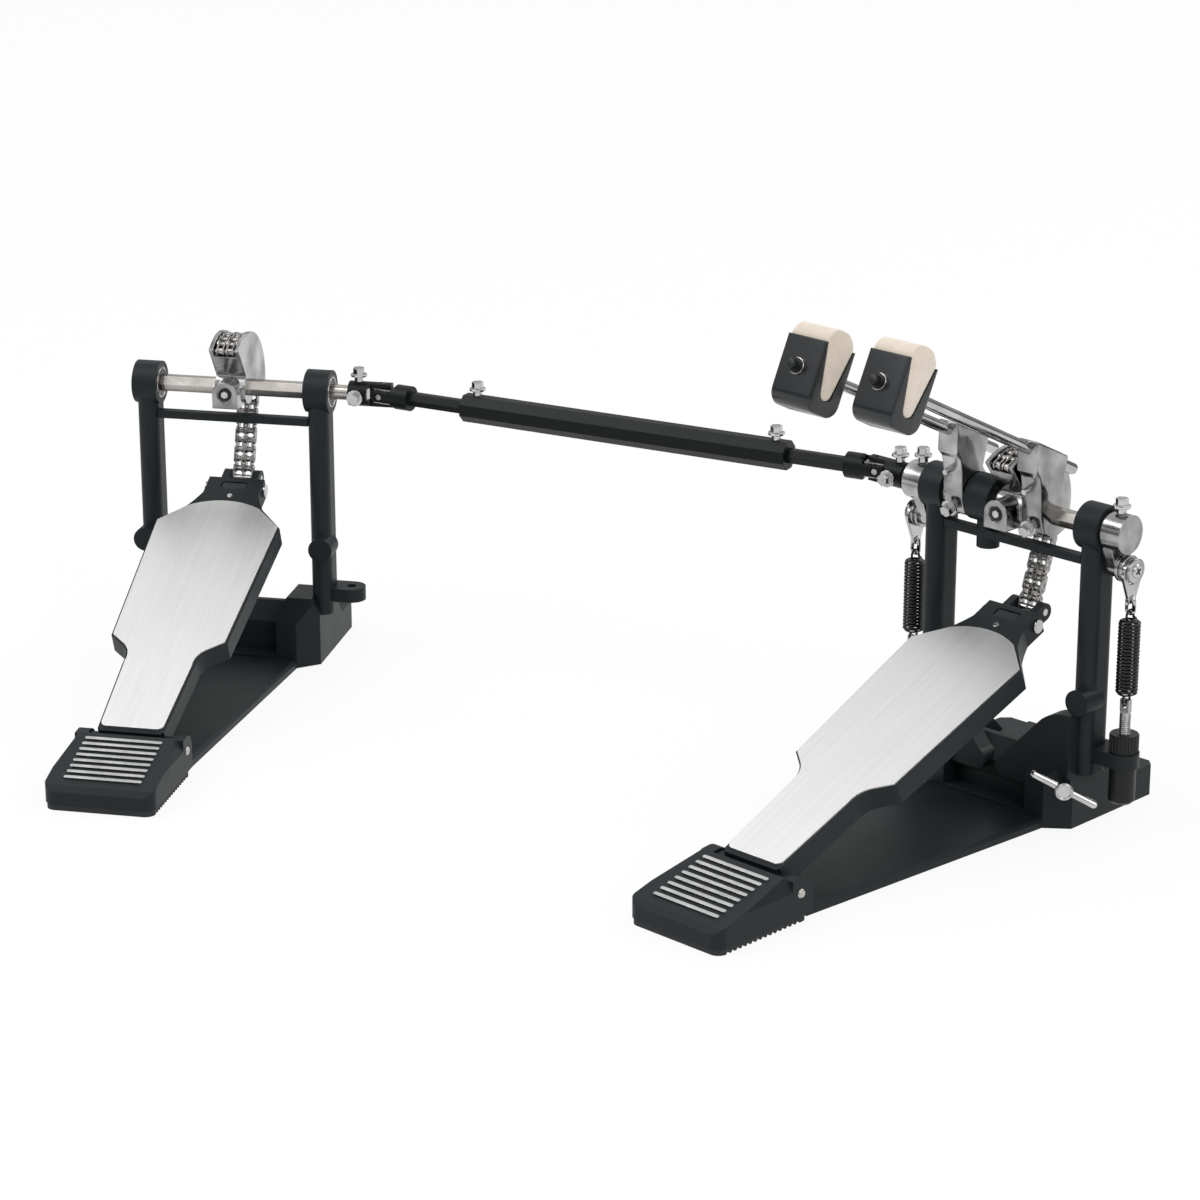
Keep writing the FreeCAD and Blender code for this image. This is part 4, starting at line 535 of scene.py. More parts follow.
# %% Links, rollers and pins
LINK_RADIUS = 2.75 * MM
LINK_THICK = 0.9 * MM
OUTER_PLATES = (-6.4, 0.0, 6.4)
INNER_PLATES = (-5.2, -1.25, 1.25, 5.2)
ROLLER_PLACES = (-3.2, 3.2)
ROLLER_HALF = 1.45 * MM
ROLLER_RADIUS = 2.0 * MM
PIN_RADIUS = 1.15 * MM
PIN_HALF = 7.2 * MM
LINK_ARC = math.radians(112)


def link_outline(a, b):
    """Waisted plate round two pins: an arc past the half circle at each."""
    heading = math.atan2(b[1] - a[1], b[0] - a[0])
    outline = []
    for centre, middle in ((b, heading), (a, heading + math.pi)):
        for i in range(7):
            angle = middle - LINK_ARC + 2 * LINK_ARC * i / 6
            across = LINK_RADIUS * math.cos(angle)
            outline.append((centre[0] + across, centre[1] + LINK_RADIUS * math.sin(angle)))
    return outline


def add_links(bm, pins, first_inner, skip_first_pin=False):
    for i in range(len(pins) - 1):
        inner = (i % 2 == 0) == first_inner
        for x in INNER_PLATES if inner else OUTER_PLATES:
            outline = link_outline(pins[i], pins[i + 1])
            drawn_plate(bm, outline, x * MM - LINK_THICK / 2, x * MM + LINK_THICK / 2)
    for pin in pins[1 if skip_first_pin else 0:]:
        rod(bm, Vector((-PIN_HALF, *pin)), Vector((PIN_HALF, *pin)), PIN_RADIUS, 10)
        for x in ROLLER_PLACES:
            near = Vector((x * MM - ROLLER_HALF, *pin))
            far = Vector((x * MM + ROLLER_HALF, *pin))
            rod(bm, near, far, ROLLER_RADIUS, 12)


print("a link is", round(2 * LINK_RADIUS / MM, 1), "mm wide")

# %% Three chain pieces on each pedal
for pedal, place in PEDALS.items():
    stretches = (
        ("chain_run", run_pins[:-1], "_chain_run", len(run_pins) % 2 == 1),
        ("chain_bend", cam_pins[:BEND_LINKS + 1], "_chain_bend", True),
        ("chain_wrap", cam_pins[BEND_LINKS:], "_axle", True),
    )
    for label, pins, body, first_inner in stretches:
        bm = bmesh.new()
        add_links(bm, pins, first_inner, label == "chain_wrap")
        if label == "chain_run":
            for x in OUTER_PLATES:
                outline = link_outline(run_pins[-2], run_pins[-1])
                drawn_plate(bm, outline, x * MM - LINK_THICK / 2, x * MM + LINK_THICK / 2)
        bmesh.ops.transform(bm, matrix=place, verts=bm.verts)
        piece = finish_piece(pedal + "_" + label + "_links", bm, chain_steel, pedal + body)
        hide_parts(pedal + "_" + label)

# %% [markdown]
# ## Return springs
# Each axle is pulled back by an extension spring of blackened wire: a close coil that narrows at both
# ends and runs out into a hook. A curve with a bevel would do, but the spin operator draws a helix
# directly when it is given a rise per step. The spring stretches with its hanger, but here it
# rides on no body.

# %% Coil and hooks
WIRE_RADIUS = 0.94 * MM
COIL_RADIUS = 5.75 * MM
HOOK_RADIUS = 3.4 * MM
HOOK_WIRE = 0.72 * MM
HOOK_SWEEP = math.radians(230)
COIL_LOW = 86.2 * MM
COIL_HIGH = 134.2 * MM
COIL_TURNS = 22
COIL_STEPS = 24
COIL_TAPER = 2.4 * MM
LOW_HOOK = 83.4 * MM
HIGH_HOOK = 136.15 * MM


def coil_radius(z):
    """Full in the middle, narrowing to the hooks' own radius at both ends."""
    inward = min(z - COIL_LOW, COIL_HIGH - z) / COIL_TAPER
    share = min(1.0, max(0.0, inward))
    share = share * share * (3 - 2 * share)
    return HOOK_RADIUS + (COIL_RADIUS - HOOK_RADIUS) * share


def add_coil(bm, x, y):
    """Helix by spin with a rise, then narrowed towards its ends."""
    start = Matrix.Translation((x, y + COIL_RADIUS, COIL_LOW)) @ Matrix.Rotation(math.pi / 2, 4, "Y")
    section = wire_section(bm, start, WIRE_RADIUS, 8, closed=True)
    steps = COIL_TURNS * COIL_STEPS
    rise = (COIL_HIGH - COIL_LOW) / steps
    bmesh.ops.spin(bm, geom=section, cent=(x, y, 0), axis=(0, 0, 1), dvec=(0, 0, rise),
                   angle=2 * math.pi * COIL_TURNS, steps=steps)
    for vert in bm.verts:
        centre = Vector((x, y, vert.co.z))
        outward = vert.co - centre
        shrink = COIL_RADIUS - coil_radius(vert.co.z)
        vert.co = centre + outward * (1 - shrink / max(outward.length, WIRE_RADIUS))


def add_hook(bm, x, y, z, up):
    """Most of a circle of wire in the upright plane, from the coil's side round to the other."""
    side = Matrix.Translation((x, y + HOOK_RADIUS, z))
    section = wire_section(bm, side, HOOK_WIRE, 8, closed=True)
    bmesh.ops.spin(bm, geom=section, cent=(x, y, z), axis=(1, 0, 0), angle=HOOK_SWEEP * up, steps=20)


for prefix, side in SIDES.items():
    x = side * SPRING_PLACE.x
    y = SPRING_PLACE.y
    bm = bmesh.new()
    add_coil(bm, x, y)
    wire = y + HOOK_RADIUS
    for low, high in ((LOW_HOOK, COIL_LOW), (COIL_HIGH, HIGH_HOOK)):
        rod(bm, Vector((x, wire, low)), Vector((x, wire, high)), HOOK_WIRE, 8)
    add_hook(bm, x, y, LOW_HOOK, -1)
    add_hook(bm, x, y, HIGH_HOOK, 1)
    spring = finish_piece(prefix + "_spring_wire", bm, spring_black, None, 60.0)
    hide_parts(prefix + "_spring")
    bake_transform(spring)

# %% [markdown]
# ## Hanger rings
# A small oval ring of bright wire links the strap on the rocker to the spring's hook. The solid ring
# has a flat-sided wire, so a round wire is laid over it: two half circles by spin and two straights.

# %% Oval wire rings
RING_HALF = 2.5 * MM
RING_WIRE = 1.25 * MM
RING_TOP = 147.4 * MM
RING_STRAIGHT = 5.0 * MM


def add_half_ring(bm, x, y, z, up):
    side = Matrix.Translation((x + RING_HALF, y, z))
    section = wire_section(bm, side, RING_WIRE, 10)
    bmesh.ops.spin(bm, geom=section, cent=(x, y, z), axis=(0, 1, 0), angle=-math.pi * up, steps=12)


for prefix, side in SIDES.items():
    x = side * SPRING_PLACE.x
    y = SPRING_PLACE.y
    upper = RING_TOP - RING_HALF
    lower = upper - RING_STRAIGHT
    bm = bmesh.new()
    add_half_ring(bm, x, y, upper, 1)
    add_half_ring(bm, x, y, lower, -1)
    for reach in (-RING_HALF, RING_HALF):
        rod(bm, Vector((x + reach, y, lower)), Vector((x + reach, y, upper)), RING_WIRE, 10)
    finish_piece(prefix + "_hanger_ring", bm, chrome, prefix + "_spring_hanger", 60.0)

# %% [markdown]
# ## Beater heads
# A head is a moulded casing folded round a wedge of felt, and the felt stands out of it with a crowned
# face. Both are drawn as side views and taken across the head's width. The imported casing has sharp
# rims, so this one has its outer rims rounded with a bevel, as a moulding has. The heads are drawn as
# they strike, with the rod upright, and then leaned back to rest.

# %% Beater sizes and places
AXLE_CENTRE = Vector((0, 0, AXLE_HEIGHT))
BEATER_OFFSET = 30.5 * MM
HEAD_INNER = 159.5 * MM
HEAD_THICK = 29.0 * MM
HEAD_OUTER = HEAD_INNER + HEAD_THICK
HEAD_MIDDLE = HEAD_INNER + HEAD_THICK / 2
HEAD_HALF_WIDTH = 14.5 * MM
HEAD_BACK = 7.5 * MM
HEAD_OPEN = 48.0 * MM
HEAD_CORNER = 9.0 * MM
LIP_THICK = 2.1 * MM
SLOT_CENTRE = 21.4 * MM
SLOT_RADIUS = 5.8 * MM
FELT_GAP = 0.25 * MM
FELT_HALF_WIDTH = 13.7 * MM
FELT_SHOULDER = 50.0 * MM
FELT_CROWN = 57.3 * MM
BEATERS = {"main": (19.8 * MM, math.radians(63.7)), "left": (-39.4 * MM, math.radians(64.4))}


def beater_place(lean):
    return Matrix.Translation(AXLE_CENTRE) @ Matrix.Rotation(lean, 4, "X")


def arc(centre, radius, first, last, steps):
    """Points on an arc in Y and Z, from one angle to another."""
    angles = [first + (last - first) * i / steps for i in range(steps + 1)]
    return [(centre[0] + radius * math.cos(a), centre[1] + radius * math.sin(a)) for a in angles]


def slot_outline(gap):
    """From the outer lip round the root of the slot to the inner lip, drawn in by a gap."""
    half = HEAD_THICK / 2 - LIP_THICK - gap
    radius = SLOT_RADIUS - gap
    lean = math.atan2(half - radius, HEAD_OPEN - SLOT_CENTRE)
    root = arc((SLOT_CENTRE, HEAD_MIDDLE), radius, math.pi / 2 + lean, 1.5 * math.pi - lean, 12)
    return [(HEAD_OPEN, HEAD_MIDDLE + half), *root, (HEAD_OPEN, HEAD_MIDDLE - half)]


def casing_back():
    """The outside of the casing, from the inner lip round the back to the outer lip."""
    turn = HEAD_BACK + HEAD_CORNER
    inner = arc((turn, HEAD_INNER + HEAD_CORNER), HEAD_CORNER, -math.pi / 2, -math.pi, 8)
    outer = arc((turn, HEAD_OUTER - HEAD_CORNER), HEAD_CORNER, math.pi, math.pi / 2, 8)
    return [(HEAD_OPEN, HEAD_INNER), *inner, *outer, (HEAD_OPEN, HEAD_OUTER)]


print("heads reach", round(HEAD_OUTER / MM, 1), "mm from the axle")

# %% Moulded casings
RIM_ROUND = 1.8 * MM
for prefix, (x, lean) in BEATERS.items():
    bm = bmesh.new()
    back = casing_back()
    drawn_plate(bm, back + slot_outline(0.0), x - HEAD_HALF_WIDTH, x + HEAD_HALF_WIDTH)
    outside = {(round(y, 6), round(z, 6)) for y, z in back}
    corners = [v for v in bm.verts if (round(v.co.y, 6), round(v.co.z, 6)) in outside]
    rims = [edge for edge in across_rims(bm) if all(v in corners for v in edge.verts)]
    soften(bm, rims, RIM_ROUND, 4)
    bmesh.ops.transform(bm, matrix=beater_place(lean), verts=bm.verts)
    casing = finish_piece(prefix + "_casing_moulding", bm, casing_plastic, prefix + "_beater")
    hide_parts(prefix + "_beater_casing")

# %% Felt wedges
CROWN_STEPS = 16
CROWN_SKEW = 0.10
CROWN_POWER = 3.2
FELT_EDGE = 0.9 * MM


def felt_outline():
    """The slot's own outline, closed by a crown that leans to the outer side."""
    outline = slot_outline(FELT_GAP)
    low = outline[-1][1]
    high = outline[0][1]
    for i in range(CROWN_STEPS + 1):
        share = -1 + 2 * i / CROWN_STEPS
        skewed = share - CROWN_SKEW * (1 - share * share)
        rise = FELT_SHOULDER + (FELT_CROWN - FELT_SHOULDER) * (1 - abs(skewed) ** CROWN_POWER)
        outline.append((rise, (low + high) / 2 + share * (high - low) / 2))
    return outline


for prefix, (x, lean) in BEATERS.items():
    bm = bmesh.new()
    drawn_plate(bm, felt_outline(), x - FELT_HALF_WIDTH, x + FELT_HALF_WIDTH)
    soften(bm, across_rims(bm), FELT_EDGE)
    bmesh.ops.transform(bm, matrix=beater_place(lean), verts=bm.verts)
    felt = finish_piece(prefix + "_felt_wedge", bm, wool_felt, prefix + "_beater", 75.0)
    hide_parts(prefix + "_beater_felt")

# %% [markdown]
# ## Clamp screws of the beater heads
# A long black socket screw clamps each casing on its rod, and only a thin bright ring of its washer
# shows. The washer is part of the rod, so a black collar is laid on it and the screw stands on that.

# %% Black screws in the casings
SCREW_RADIUS = 3.0 * MM
SCREW_FROM = 0.4 * MM
SCREW_TO = 7.4 * MM
SCREW_EDGE = 0.8 * MM
COLLAR_RADIUS = 4.5 * MM
COLLAR_TO = 2.9 * MM
for prefix, (x, lean) in BEATERS.items():
    bm = bmesh.new()
    foot = Vector((x, BEATER_OFFSET, HEAD_OUTER + SCREW_FROM))
    top = Vector((x, BEATER_OFFSET, HEAD_OUTER + SCREW_TO))
    rod(bm, foot, top, SCREW_RADIUS, 20)
    rim = [edge for edge in bm.edges if min(v.co.z for v in edge.verts) > top.z - 1e-5]
    soften(bm, rim, SCREW_EDGE)
    rod(bm, foot, Vector((x, BEATER_OFFSET, HEAD_OUTER + COLLAR_TO)), COLLAR_RADIUS, 24)
    bmesh.ops.transform(bm, matrix=beater_place(lean), verts=bm.verts)
    finish_piece(prefix + "_head_screw", bm, black_nuts_and_recess_shade, prefix + "_beater")

# %% [markdown]
# ## Beater hubs
# Each hub is one casting: a faceted ring on the axle that grows into the block which clamps the rod.
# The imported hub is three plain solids, so here the whole side view is drawn once, taken across its
# width, and every edge is softened with a bevel. A small set screw stands on its front.

# %% Hub castings
HUB_HALF = 7.3 * MM
HUB_SIDE = ((35.5, 6.0), (35.5, 40.0), (17.5, 32.0), (15.6, 26.6), (9.0, 21.6), (-5.6, 13.5),
            (-13.5, 5.6), (-13.5, -5.6), (-5.6, -13.5), (5.6, -13.5), (12.6, -6.6), (17.5, 2.6))
HUB_EDGE = 1.1 * MM
SET_SCREW = ((10.6, 21.4), (5.8, 27.8))
SET_SCREW_RADIUS = 2.3 * MM
for prefix, (x, lean) in BEATERS.items():
    body = BEATER_AXLES[prefix]
    bm = bmesh.new()
    drawn_plate(bm, [(y * MM, z * MM) for y, z in HUB_SIDE], x - HUB_HALF, x + HUB_HALF)
    soften(bm, list(bm.edges), HUB_EDGE, clamp=True)
    bmesh.ops.transform(bm, matrix=beater_place(lean), verts=bm.verts)
    hub = finish_piece(prefix + "_hub_casting", bm, cast_silver, body, 40.0)
    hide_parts(prefix + "_beater_hub")
    bm = bmesh.new()
    ends = [Vector((x, y * MM, z * MM)) for y, z in SET_SCREW]
    rod(bm, ends[0], ends[1], SET_SCREW_RADIUS, 16, tip=SET_SCREW_RADIUS * 0.75)
    bmesh.ops.transform(bm, matrix=beater_place(lean), verts=bm.verts)
    finish_piece(prefix + "_hub_set_screw", bm, chrome, body)

# %% [markdown]
# ## Bright grip bars
# The heel plates carry a row of bright bars with round ends, so that a heel doesn't slip. The solid
# has a rib under each, and a thin bar with softened rims is laid over every rib.

# %% Grip bars on both heel plates
HEEL_FRONT = Vector((0, -299.0, 15.0)) * MM
HEEL_REAR = Vector((0, -238.0, 30.0)) * MM
BAR_COUNT = 8
BAR_FIRST = 11.0 * MM
BAR_STEP = 5.8 * MM
BAR_HALF = 24.7 * MM
BAR_WIDTH = 2.5 * MM
BAR_ROUND = 0.49
BAR_TOP = 1.0 * MM
BAR_SUNK = 0.3 * MM
heel_slope = math.atan2(HEEL_REAR.z - HEEL_FRONT.z, HEEL_REAR.y - HEEL_FRONT.y)


def add_bar(bm, y):
    """Flat bar with round ends, laid on the sloping top."""
    cube = bmesh.ops.create_cube(bm, size=1.0)["verts"]
    size = Matrix.Diagonal((2 * BAR_HALF, BAR_WIDTH, BAR_TOP + BAR_SUNK, 1))
    bmesh.ops.transform(bm, matrix=size, verts=cube)
    ends = [edge for edge in {e for v in cube for e in v.link_edges}
            if abs(edge.verts[0].co.z - edge.verts[1].co.z) > 1e-6]
    made = soften(bm, ends, BAR_WIDTH * BAR_ROUND, 5)
    verts = list({v for f in made["faces"] for v in f.verts} | {v for v in cube if v.is_valid})
    height = HEEL_FRONT.z + (y - HEEL_FRONT.y) * math.tan(heel_slope)
    lift = (BAR_TOP - BAR_SUNK) / 2
    place = Matrix.Translation((0, y, height)) @ Matrix.Rotation(heel_slope, 4, "X")
    bmesh.ops.transform(bm, matrix=place @ Matrix.Translation((0, 0, lift)), verts=verts)


for pedal, place in PEDALS.items():
    bm = bmesh.new()
    for i in range(BAR_COUNT):
        add_bar(bm, HEEL_FRONT.y + BAR_FIRST + i * BAR_STEP)
    bmesh.ops.transform(bm, matrix=place, verts=bm.verts)
    finish_piece(pedal + "_grip_bars", bm, grip_silver, pedal + "_frame")

# %% [markdown]
# ## Heel pins and the walls under the bridges
# A slim pin with small round heads hinges the footboard in the heel plate. A thin dark wall stands
# under each bridge, down to the base plate, and shuts the gap that would show the floor. The pin is two
# cones on a rod, and the wall is a bevelled plate.

# %% Hinge pins and bridge walls
PIN_PLACE = Vector((0, -231.0, 18.0)) * MM
PIN_HALF_SPAN = 34.9 * MM
PIN_BODY = 2.45 * MM
PIN_HEAD = 3.0 * MM
PIN_HEAD_PROUD = 1.0 * MM
WALL_HALF = 31.0 * MM
WALL_REAR = -13.6 * MM
WALL_THICK = 2.5 * MM
WALL_LOW = 5.8 * MM
WALL_HIGH = 18.6 * MM
WALL_EDGE = 0.4 * MM
for pedal, place in PEDALS.items():
    bm = bmesh.new()
    ends = [PIN_PLACE + Vector((side * PIN_HALF_SPAN, 0, 0)) for side in (-1, 1)]
    rod(bm, ends[0], ends[1], PIN_BODY, 20)
    for side, end in zip((-1, 1), ends):
        rod(bm, end, end + Vector((side * PIN_HEAD_PROUD, 0, 0)), PIN_HEAD, 20, tip=PIN_HEAD * 0.75)
    bmesh.ops.transform(bm, matrix=place, verts=bm.verts)
    pin = finish_piece(pedal + "_hinge_pin", bm, nickel, pedal + "_frame")
    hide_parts(pedal + "_heel_pin")
    bm = bmesh.new()
    front = WALL_REAR + WALL_THICK
    wall = ((WALL_REAR, WALL_LOW), (front, WALL_LOW), (front, WALL_HIGH), (WALL_REAR, WALL_HIGH))
    drawn_plate(bm, wall, -WALL_HALF, WALL_HALF)
    soften(bm, list(bm.edges), WALL_EDGE, 2)
    bmesh.ops.transform(bm, matrix=place, verts=bm.verts)
    finish_piece(pedal + "_bridge_wall", bm, powder_coat, pedal + "_frame")

# %% [markdown]
# ## Threads and knurls of the tensioners
# The tension rods are threaded, and a fluted knob on each sets the spring. A thread is a lathe shape
# here: a zigzag line spun round the rod. The knob's flutes are a ring of slim bars round the nut.

# %% Threaded rods and fluted knobs
THREAD_LOW = 62.7 * MM
THREAD_HIGH = 75.6 * MM
THREAD_PITCH = 1.2 * MM
THREAD_ROOT = 3.15 * MM
THREAD_CREST = 3.42 * MM
KNOB_RADIUS = 8.3 * MM
KNOB_LOW = 51.8 * MM
KNOB_HIGH = 61.9 * MM
FLUTES = 24
FLUTE_RADIUS = 0.62 * MM
for prefix, side in SIDES.items():
    x = side * SPRING_PLACE.x
    y = SPRING_PLACE.y
    bm = bmesh.new()
    count = int((THREAD_HIGH - THREAD_LOW) / THREAD_PITCH)
    line = []
    for i in range(2 * count + 1):
        radius = THREAD_CREST if i % 2 else THREAD_ROOT
        line.append(bm.verts.new((x + radius, y, THREAD_LOW + i * THREAD_PITCH / 2)))
    edges = [bm.edges.new(pair) for pair in zip(line, line[1:])]
    bmesh.ops.spin(bm, geom=line + edges, cent=(x, y, 0), axis=(0, 0, 1), angle=2 * math.pi, steps=24,
                   use_merge=True)
    finish_piece(prefix + "_tension_thread", bm, rod_steel, "main_frame", 20.0)
    bm = bmesh.new()
    for i in range(FLUTES):
        angle = 2 * math.pi * i / FLUTES
        spot = Vector((x + KNOB_RADIUS * math.cos(angle), y + KNOB_RADIUS * math.sin(angle), 0))
        rod(bm, spot + Vector((0, 0, KNOB_LOW)), spot + Vector((0, 0, KNOB_HIGH)), FLUTE_RADIUS, 8)
    finish_piece(prefix + "_knob_flutes", bm, black_nuts_and_recess_shade, "main_frame")

# %% [markdown]
# ## Screw heads on the rockers and the clamp
# A crosshead screw holds the pulley on each rocker, a small nut sits in a socket on each cam, and
# the clamp's handle has a dished cap. They are small turned pieces: discs with a rounded rim, a ring
# made by spin, and two slim bars for the cross. The black cross and the black disc round each cam's
# nut are painted shade in their recesses.

# %% Crosshead screws on the rockers
AXLE_X_END = 84.6 * MM
ROCKER_PIN = Vector((0, 3.5, 164.0)) * MM
CROSSHEAD_RADIUS = 4.4 * MM
CROSSHEAD_HEIGHT = 1.3 * MM
CROSS_TURN = 0.5
CROSS_HALF = Vector((0.25, 2.4, 0.45)) * MM


def add_cross(bm, centre):
    """Two slim bars at right angles, painted shade that stands for the driver's recess."""
    for turn in (0.0, math.pi / 2):
        bar = bmesh.ops.create_cube(bm, size=2.0)["verts"]
        size = Matrix.Diagonal((*CROSS_HALF, 1))
        place = Matrix.Translation(centre) @ Matrix.Rotation(turn + CROSS_TURN, 4, "X")
        bmesh.ops.transform(bm, matrix=place @ size, verts=bar)


for prefix, side in SIDES.items():
    body = BEATER_AXLES[prefix]
    near = Vector((side * AXLE_X_END, ROCKER_PIN.y, ROCKER_PIN.z))
    far = near + Vector((side * CROSSHEAD_HEIGHT, 0, 0))
    bm = bmesh.new()
    rod(bm, near, far, CROSSHEAD_RADIUS, 24, tip=CROSSHEAD_RADIUS * 0.8)
    finish_piece(prefix + "_rocker_screw", bm, chrome, body)
    # The cross is painted shade in the screw's recess.
    bm = bmesh.new()
    add_cross(bm, far)
    finish_piece(prefix + "_rocker_cross_shade", bm, black_nuts_and_recess_shade, body)

# %% Nuts in the cams' sockets
CAM_FACE = -21.4 * MM
CAM_SOCKET = 4.6 * MM
SOCKET_PROUD = 0.3 * MM
CAM_NUT = 2.9 * MM
NUT_PROUD = 1.7 * MM
for pedal, place in PEDALS.items():
    centre = Vector((0, CAM_FACE, AXLE_HEIGHT))
    # The black disc is painted shade in the cam's socket.
    bm = bmesh.new()
    rod(bm, centre, centre + Vector((0, -SOCKET_PROUD, 0)), CAM_SOCKET, 28)
    bmesh.ops.transform(bm, matrix=place, verts=bm.verts)
    finish_piece(pedal + "_cam_socket_shade", bm, black_nuts_and_recess_shade, pedal + "_axle")
    bm = bmesh.new()
    rod(bm, centre, centre + Vector((0, -NUT_PROUD, 0)), CAM_NUT, 6, tip=CAM_NUT * 0.85)
    bmesh.ops.transform(bm, matrix=place, verts=bm.verts)
    finish_piece(pedal + "_cam_nut", bm, chrome, pedal + "_axle")

# %% Dished cap of the clamp's handle
CLAMP_TURN = math.radians(40.0)
CLAMP_PLACE = Vector((53.0, -17.0, 31.0)) * MM
CLAMP_FACE = 20.0 * MM
CAP_RADIUS = 4.5 * MM
CAP_RIM = 0.75 * MM
cap_line = Vector((math.sin(CLAMP_TURN), -math.cos(CLAMP_TURN), 0))
cap_centre = CLAMP_PLACE + cap_line * CLAMP_FACE
bm = bmesh.new()
upright = Matrix.Translation(cap_centre + Vector((0, 0, CAP_RADIUS)))
upright = upright @ Matrix.Rotation(CLAMP_TURN, 4, "Z") @ Matrix.Rotation(math.pi / 2, 4, "Y")
section = wire_section(bm, upright, CAP_RIM, 10)
bmesh.ops.spin(bm, geom=section, cent=cap_centre, axis=cap_line, angle=2 * math.pi, steps=28,
               use_merge=True)
finish_piece("clamp_cap_rim", bm, chrome, "clamp_screw", 60.0)

# %% [markdown]
# ## Rims of the ball bearings
# The axles turn in shielded ball bearings, and a thin bright rim of each outer race shows round its dark
# shield. A rim is a ring made by spin, set just proud of the bearing's face on both sides of a post.

# %% Bright bearing rims
RACE_RADIUS = 9.6 * MM
RACE_WIRE = 0.45 * MM
RACE_FACES = (50.25 * MM, 66.75 * MM)
for pedal, place in PEDALS.items():
    bm = bmesh.new()
    for side in (-1, 1):
        for face in RACE_FACES:
            spot = Vector((side * face, 0, AXLE_HEIGHT))
            upright = Matrix.Translation(spot + Vector((0, RACE_RADIUS, 0)))
            section = wire_section(bm, upright, RACE_WIRE, 8)
            bmesh.ops.spin(bm, geom=section, cent=spot, axis=(1, 0, 0), angle=2 * math.pi, steps=32,
                           use_merge=True)
    bmesh.ops.transform(bm, matrix=place, verts=bm.verts)
    finish_piece(pedal + "_bearing_rims", bm, chrome, pedal + "_frame", 60.0)

# %% [markdown]
# ## Neck details of the footboards
# Behind the brushed sheet the casting narrows to a neck. It has a small bright screw, and a dark rubber
# block in its window that quiets the chain. They lie on the sloping board, so they are drawn along it
# and set on its hinge.

# %% Window block and neck screw
HINGE = Vector((0, -231.0, 18.0)) * MM
NECK_TOP = 12.0 * MM
WINDOW_MIDDLE = 244.75 * MM
WINDOW_SIZE = Vector((17.2, 6.7, 2.0)) * MM
BLOCK_SUNK = 0.3 * MM
BLOCK_EDGE = 0.9 * MM
NECK_SCREW_U = 233.5 * MM
NECK_SCREW_RADIUS = 2.1 * MM
NECK_SCREW_TIP = 1.6 * MM
NECK_SCREW_SUNK = 0.2 * MM
NECK_SCREW_PROUD = 0.7 * MM
board_place = Matrix.Translation(HINGE) @ Matrix.Rotation(BOARD_SLOPE, 4, "X")
for pedal, place in PEDALS.items():
    bm = bmesh.new()
    block = bmesh.ops.create_cube(bm, size=1.0)["verts"]
    size = Matrix.Diagonal((*WINDOW_SIZE, 1))
    spot = Matrix.Translation((0, WINDOW_MIDDLE, NECK_TOP - WINDOW_SIZE.z / 2 - BLOCK_SUNK))
    bmesh.ops.transform(bm, matrix=spot @ size, verts=block)
    soften(bm, list(bm.edges), BLOCK_EDGE)
    bmesh.ops.transform(bm, matrix=place @ board_place, verts=bm.verts)
    finish_piece(pedal + "_window_block", bm, rubber, pedal + "_footboard")
    bm = bmesh.new()
    low = Vector((0, NECK_SCREW_U, NECK_TOP - NECK_SCREW_SUNK))
    high = Vector((0, NECK_SCREW_U, NECK_TOP + NECK_SCREW_PROUD))
    rod(bm, low, high, NECK_SCREW_RADIUS, 20, tip=NECK_SCREW_TIP)
    bmesh.ops.transform(bm, matrix=place @ board_place, verts=bm.verts)
    finish_piece(pedal + "_neck_screw", bm, chrome, pedal + "_footboard")

# %% [markdown]
# ## White studio
# The photograph is a cut-out on white with the faintest shadow. The floor is a large pale sheet that
# shows nearly white to the camera and to reflections, and still takes a soft shadow. The sky is dim
# at the horizon, white higher up and grey at the very top, as a studio is, so that chrome gets its
# dark bands and the plates keep their grain from above, and three broad lamps give plain light.

# %% Pale floor
FLOOR_HALF = 12.0
FLOOR_DROP = 0.2 * MM
FLOOR_GLOW = 0.9
bm = bmesh.new()
bmesh.ops.create_grid(bm, x_segments=1, y_segments=1, size=FLOOR_HALF)
bmesh.ops.translate(bm, verts=bm.verts, vec=(0, 0, cad_low.z - FLOOR_DROP))
floor_mesh = bpy.data.meshes.new("studio_floor")
bm.to_mesh(floor_mesh)
bm.free()
floor = bpy.data.objects.new("studio_floor", floor_mesh)
scene.collection.objects.link(floor)

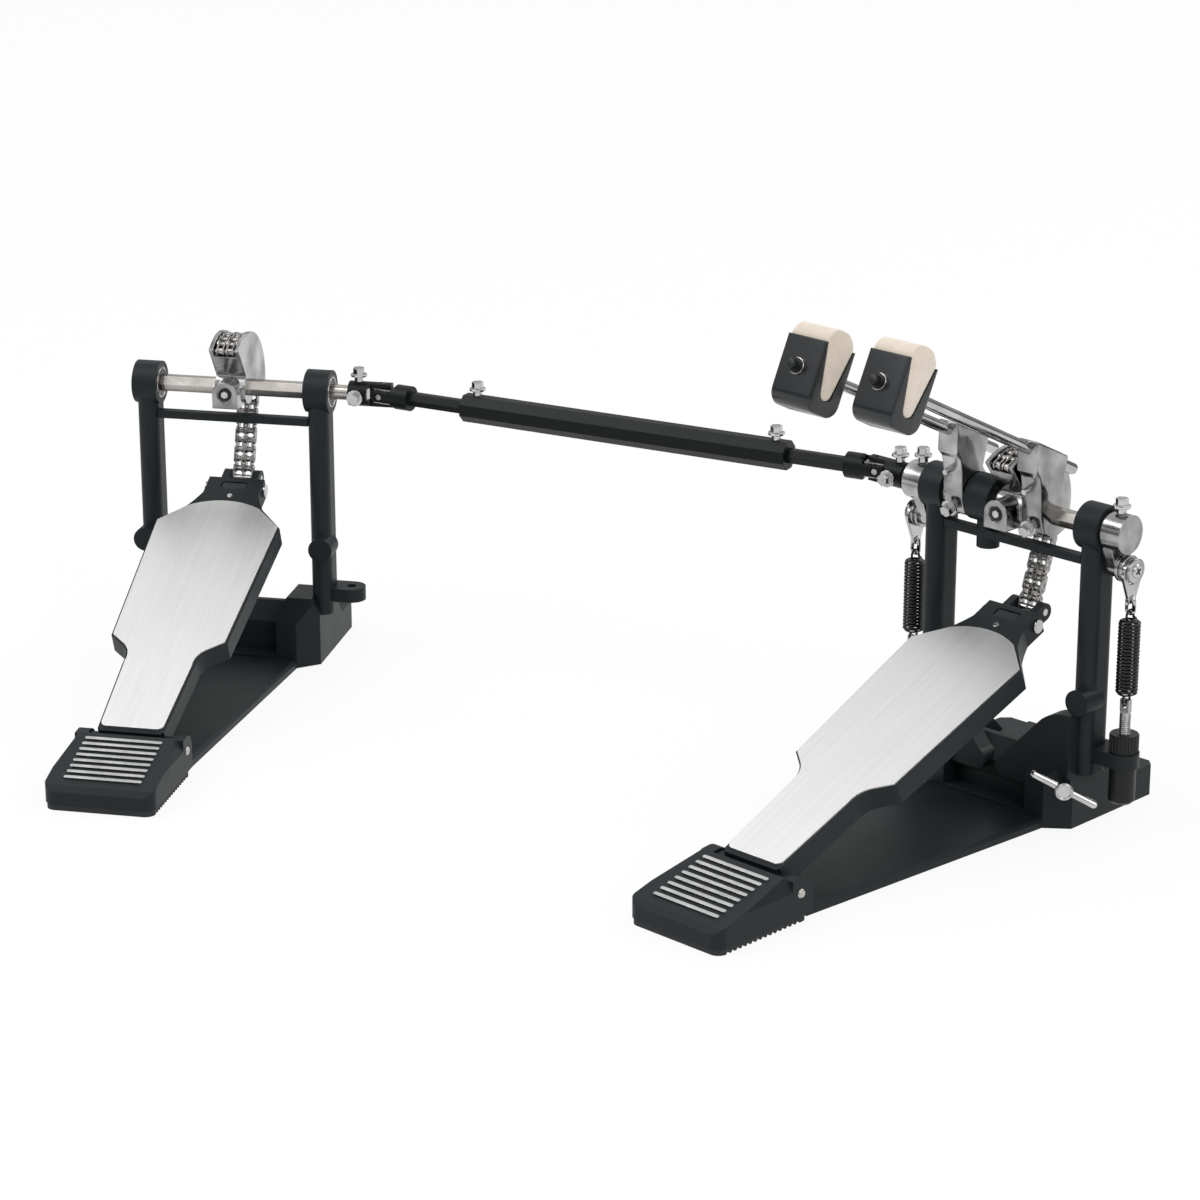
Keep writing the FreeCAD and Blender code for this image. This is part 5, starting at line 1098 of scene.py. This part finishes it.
sheet = Finish("pale_studio_floor", {"Base Color": (0.82, 0.82, 0.82, 1), "Roughness": 0.9})
path = sheet.node("ShaderNodeLightPath").socket.node.outputs
seen = Value(sheet, path["Is Camera Ray"]) + Value(sheet, path["Is Glossy Ray"])
seen = seen + Value(sheet, path["Is Transmission Ray"])
glow = sheet.node("ShaderNodeEmission", None, {"Color": (1, 1, 1, 1), "Strength": 1.0})
skin = Value(sheet, sheet.shader.outputs[0])
mixed = sheet.node("ShaderNodeMixShader", None, {0: seen * FLOOR_GLOW, 1: skin, 2: glow})
sheet.feed(sheet.tree.nodes["Material Output"].inputs["Surface"], mixed)
floor_mesh.materials.append(sheet.material)
floor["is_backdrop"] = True
print("floor at", round(cad_low.z, 4))

# %% Studio sky
SKY_LOW = 0.10
SKY_DIM = 0.06
SKY_WHITE = 0.48
SKY_TURN = 0.78
SKY_TOP = 0.66
world = bpy.data.worlds.new("studio_world")
sky = Tree(world)
direction = sky.node("ShaderNodeTexCoord", output="Generated")
upward = sky.node("ShaderNodeSeparateXYZ", None, {0: direction}, output="Z")
shade = sky.blend(sky.between(upward, SKY_DIM, SKY_WHITE), grey(SKY_LOW), grey(1.0))
shade = sky.blend(sky.between(upward, SKY_TURN, 1.0), shade, grey(SKY_TOP))
looking = sky.node("ShaderNodeLightPath", output="Is Camera Ray")
sky.feed(sky.tree.nodes["Background"].inputs["Color"], sky.blend(looking, shade, grey(1.0)))
scene.world = world
scene.view_settings.view_transform = "Standard"
print("sky from", SKY_LOW, "to white and", SKY_TOP, "overhead")

# %% Soft lamps
LAMPS = {
    "key_lamp": ((-1.2, -1.6, 2.4), 1.6, 27.0),
    "side_lamp": ((1.9, -0.6, 1.6), 1.4, 14.0),
    "back_lamp": ((0.2, 2.2, 1.9), 1.6, 16.0),
}


def soft_lamp(name, place, aim, size, watts):
    lamp = bpy.data.lights.new(name, "AREA")
    lamp.shape = "SQUARE"
    lamp.size = size
    lamp.energy = watts
    holder = bpy.data.objects.new(name, lamp)
    holder.location = place
    holder.rotation_euler = (Vector(aim) - Vector(place)).to_track_quat("-Z", "Y").to_euler()
    scene.collection.objects.link(holder)


middle = (cad_low + cad_high) / 2
for name, (place, size, watts) in LAMPS.items():
    soft_lamp(name, place, middle, size, watts)
print(len(LAMPS), "lamps set")

# %% Print the visual box and finish
low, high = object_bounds()
print("visual box", [round(v, 4) for v in high - low])
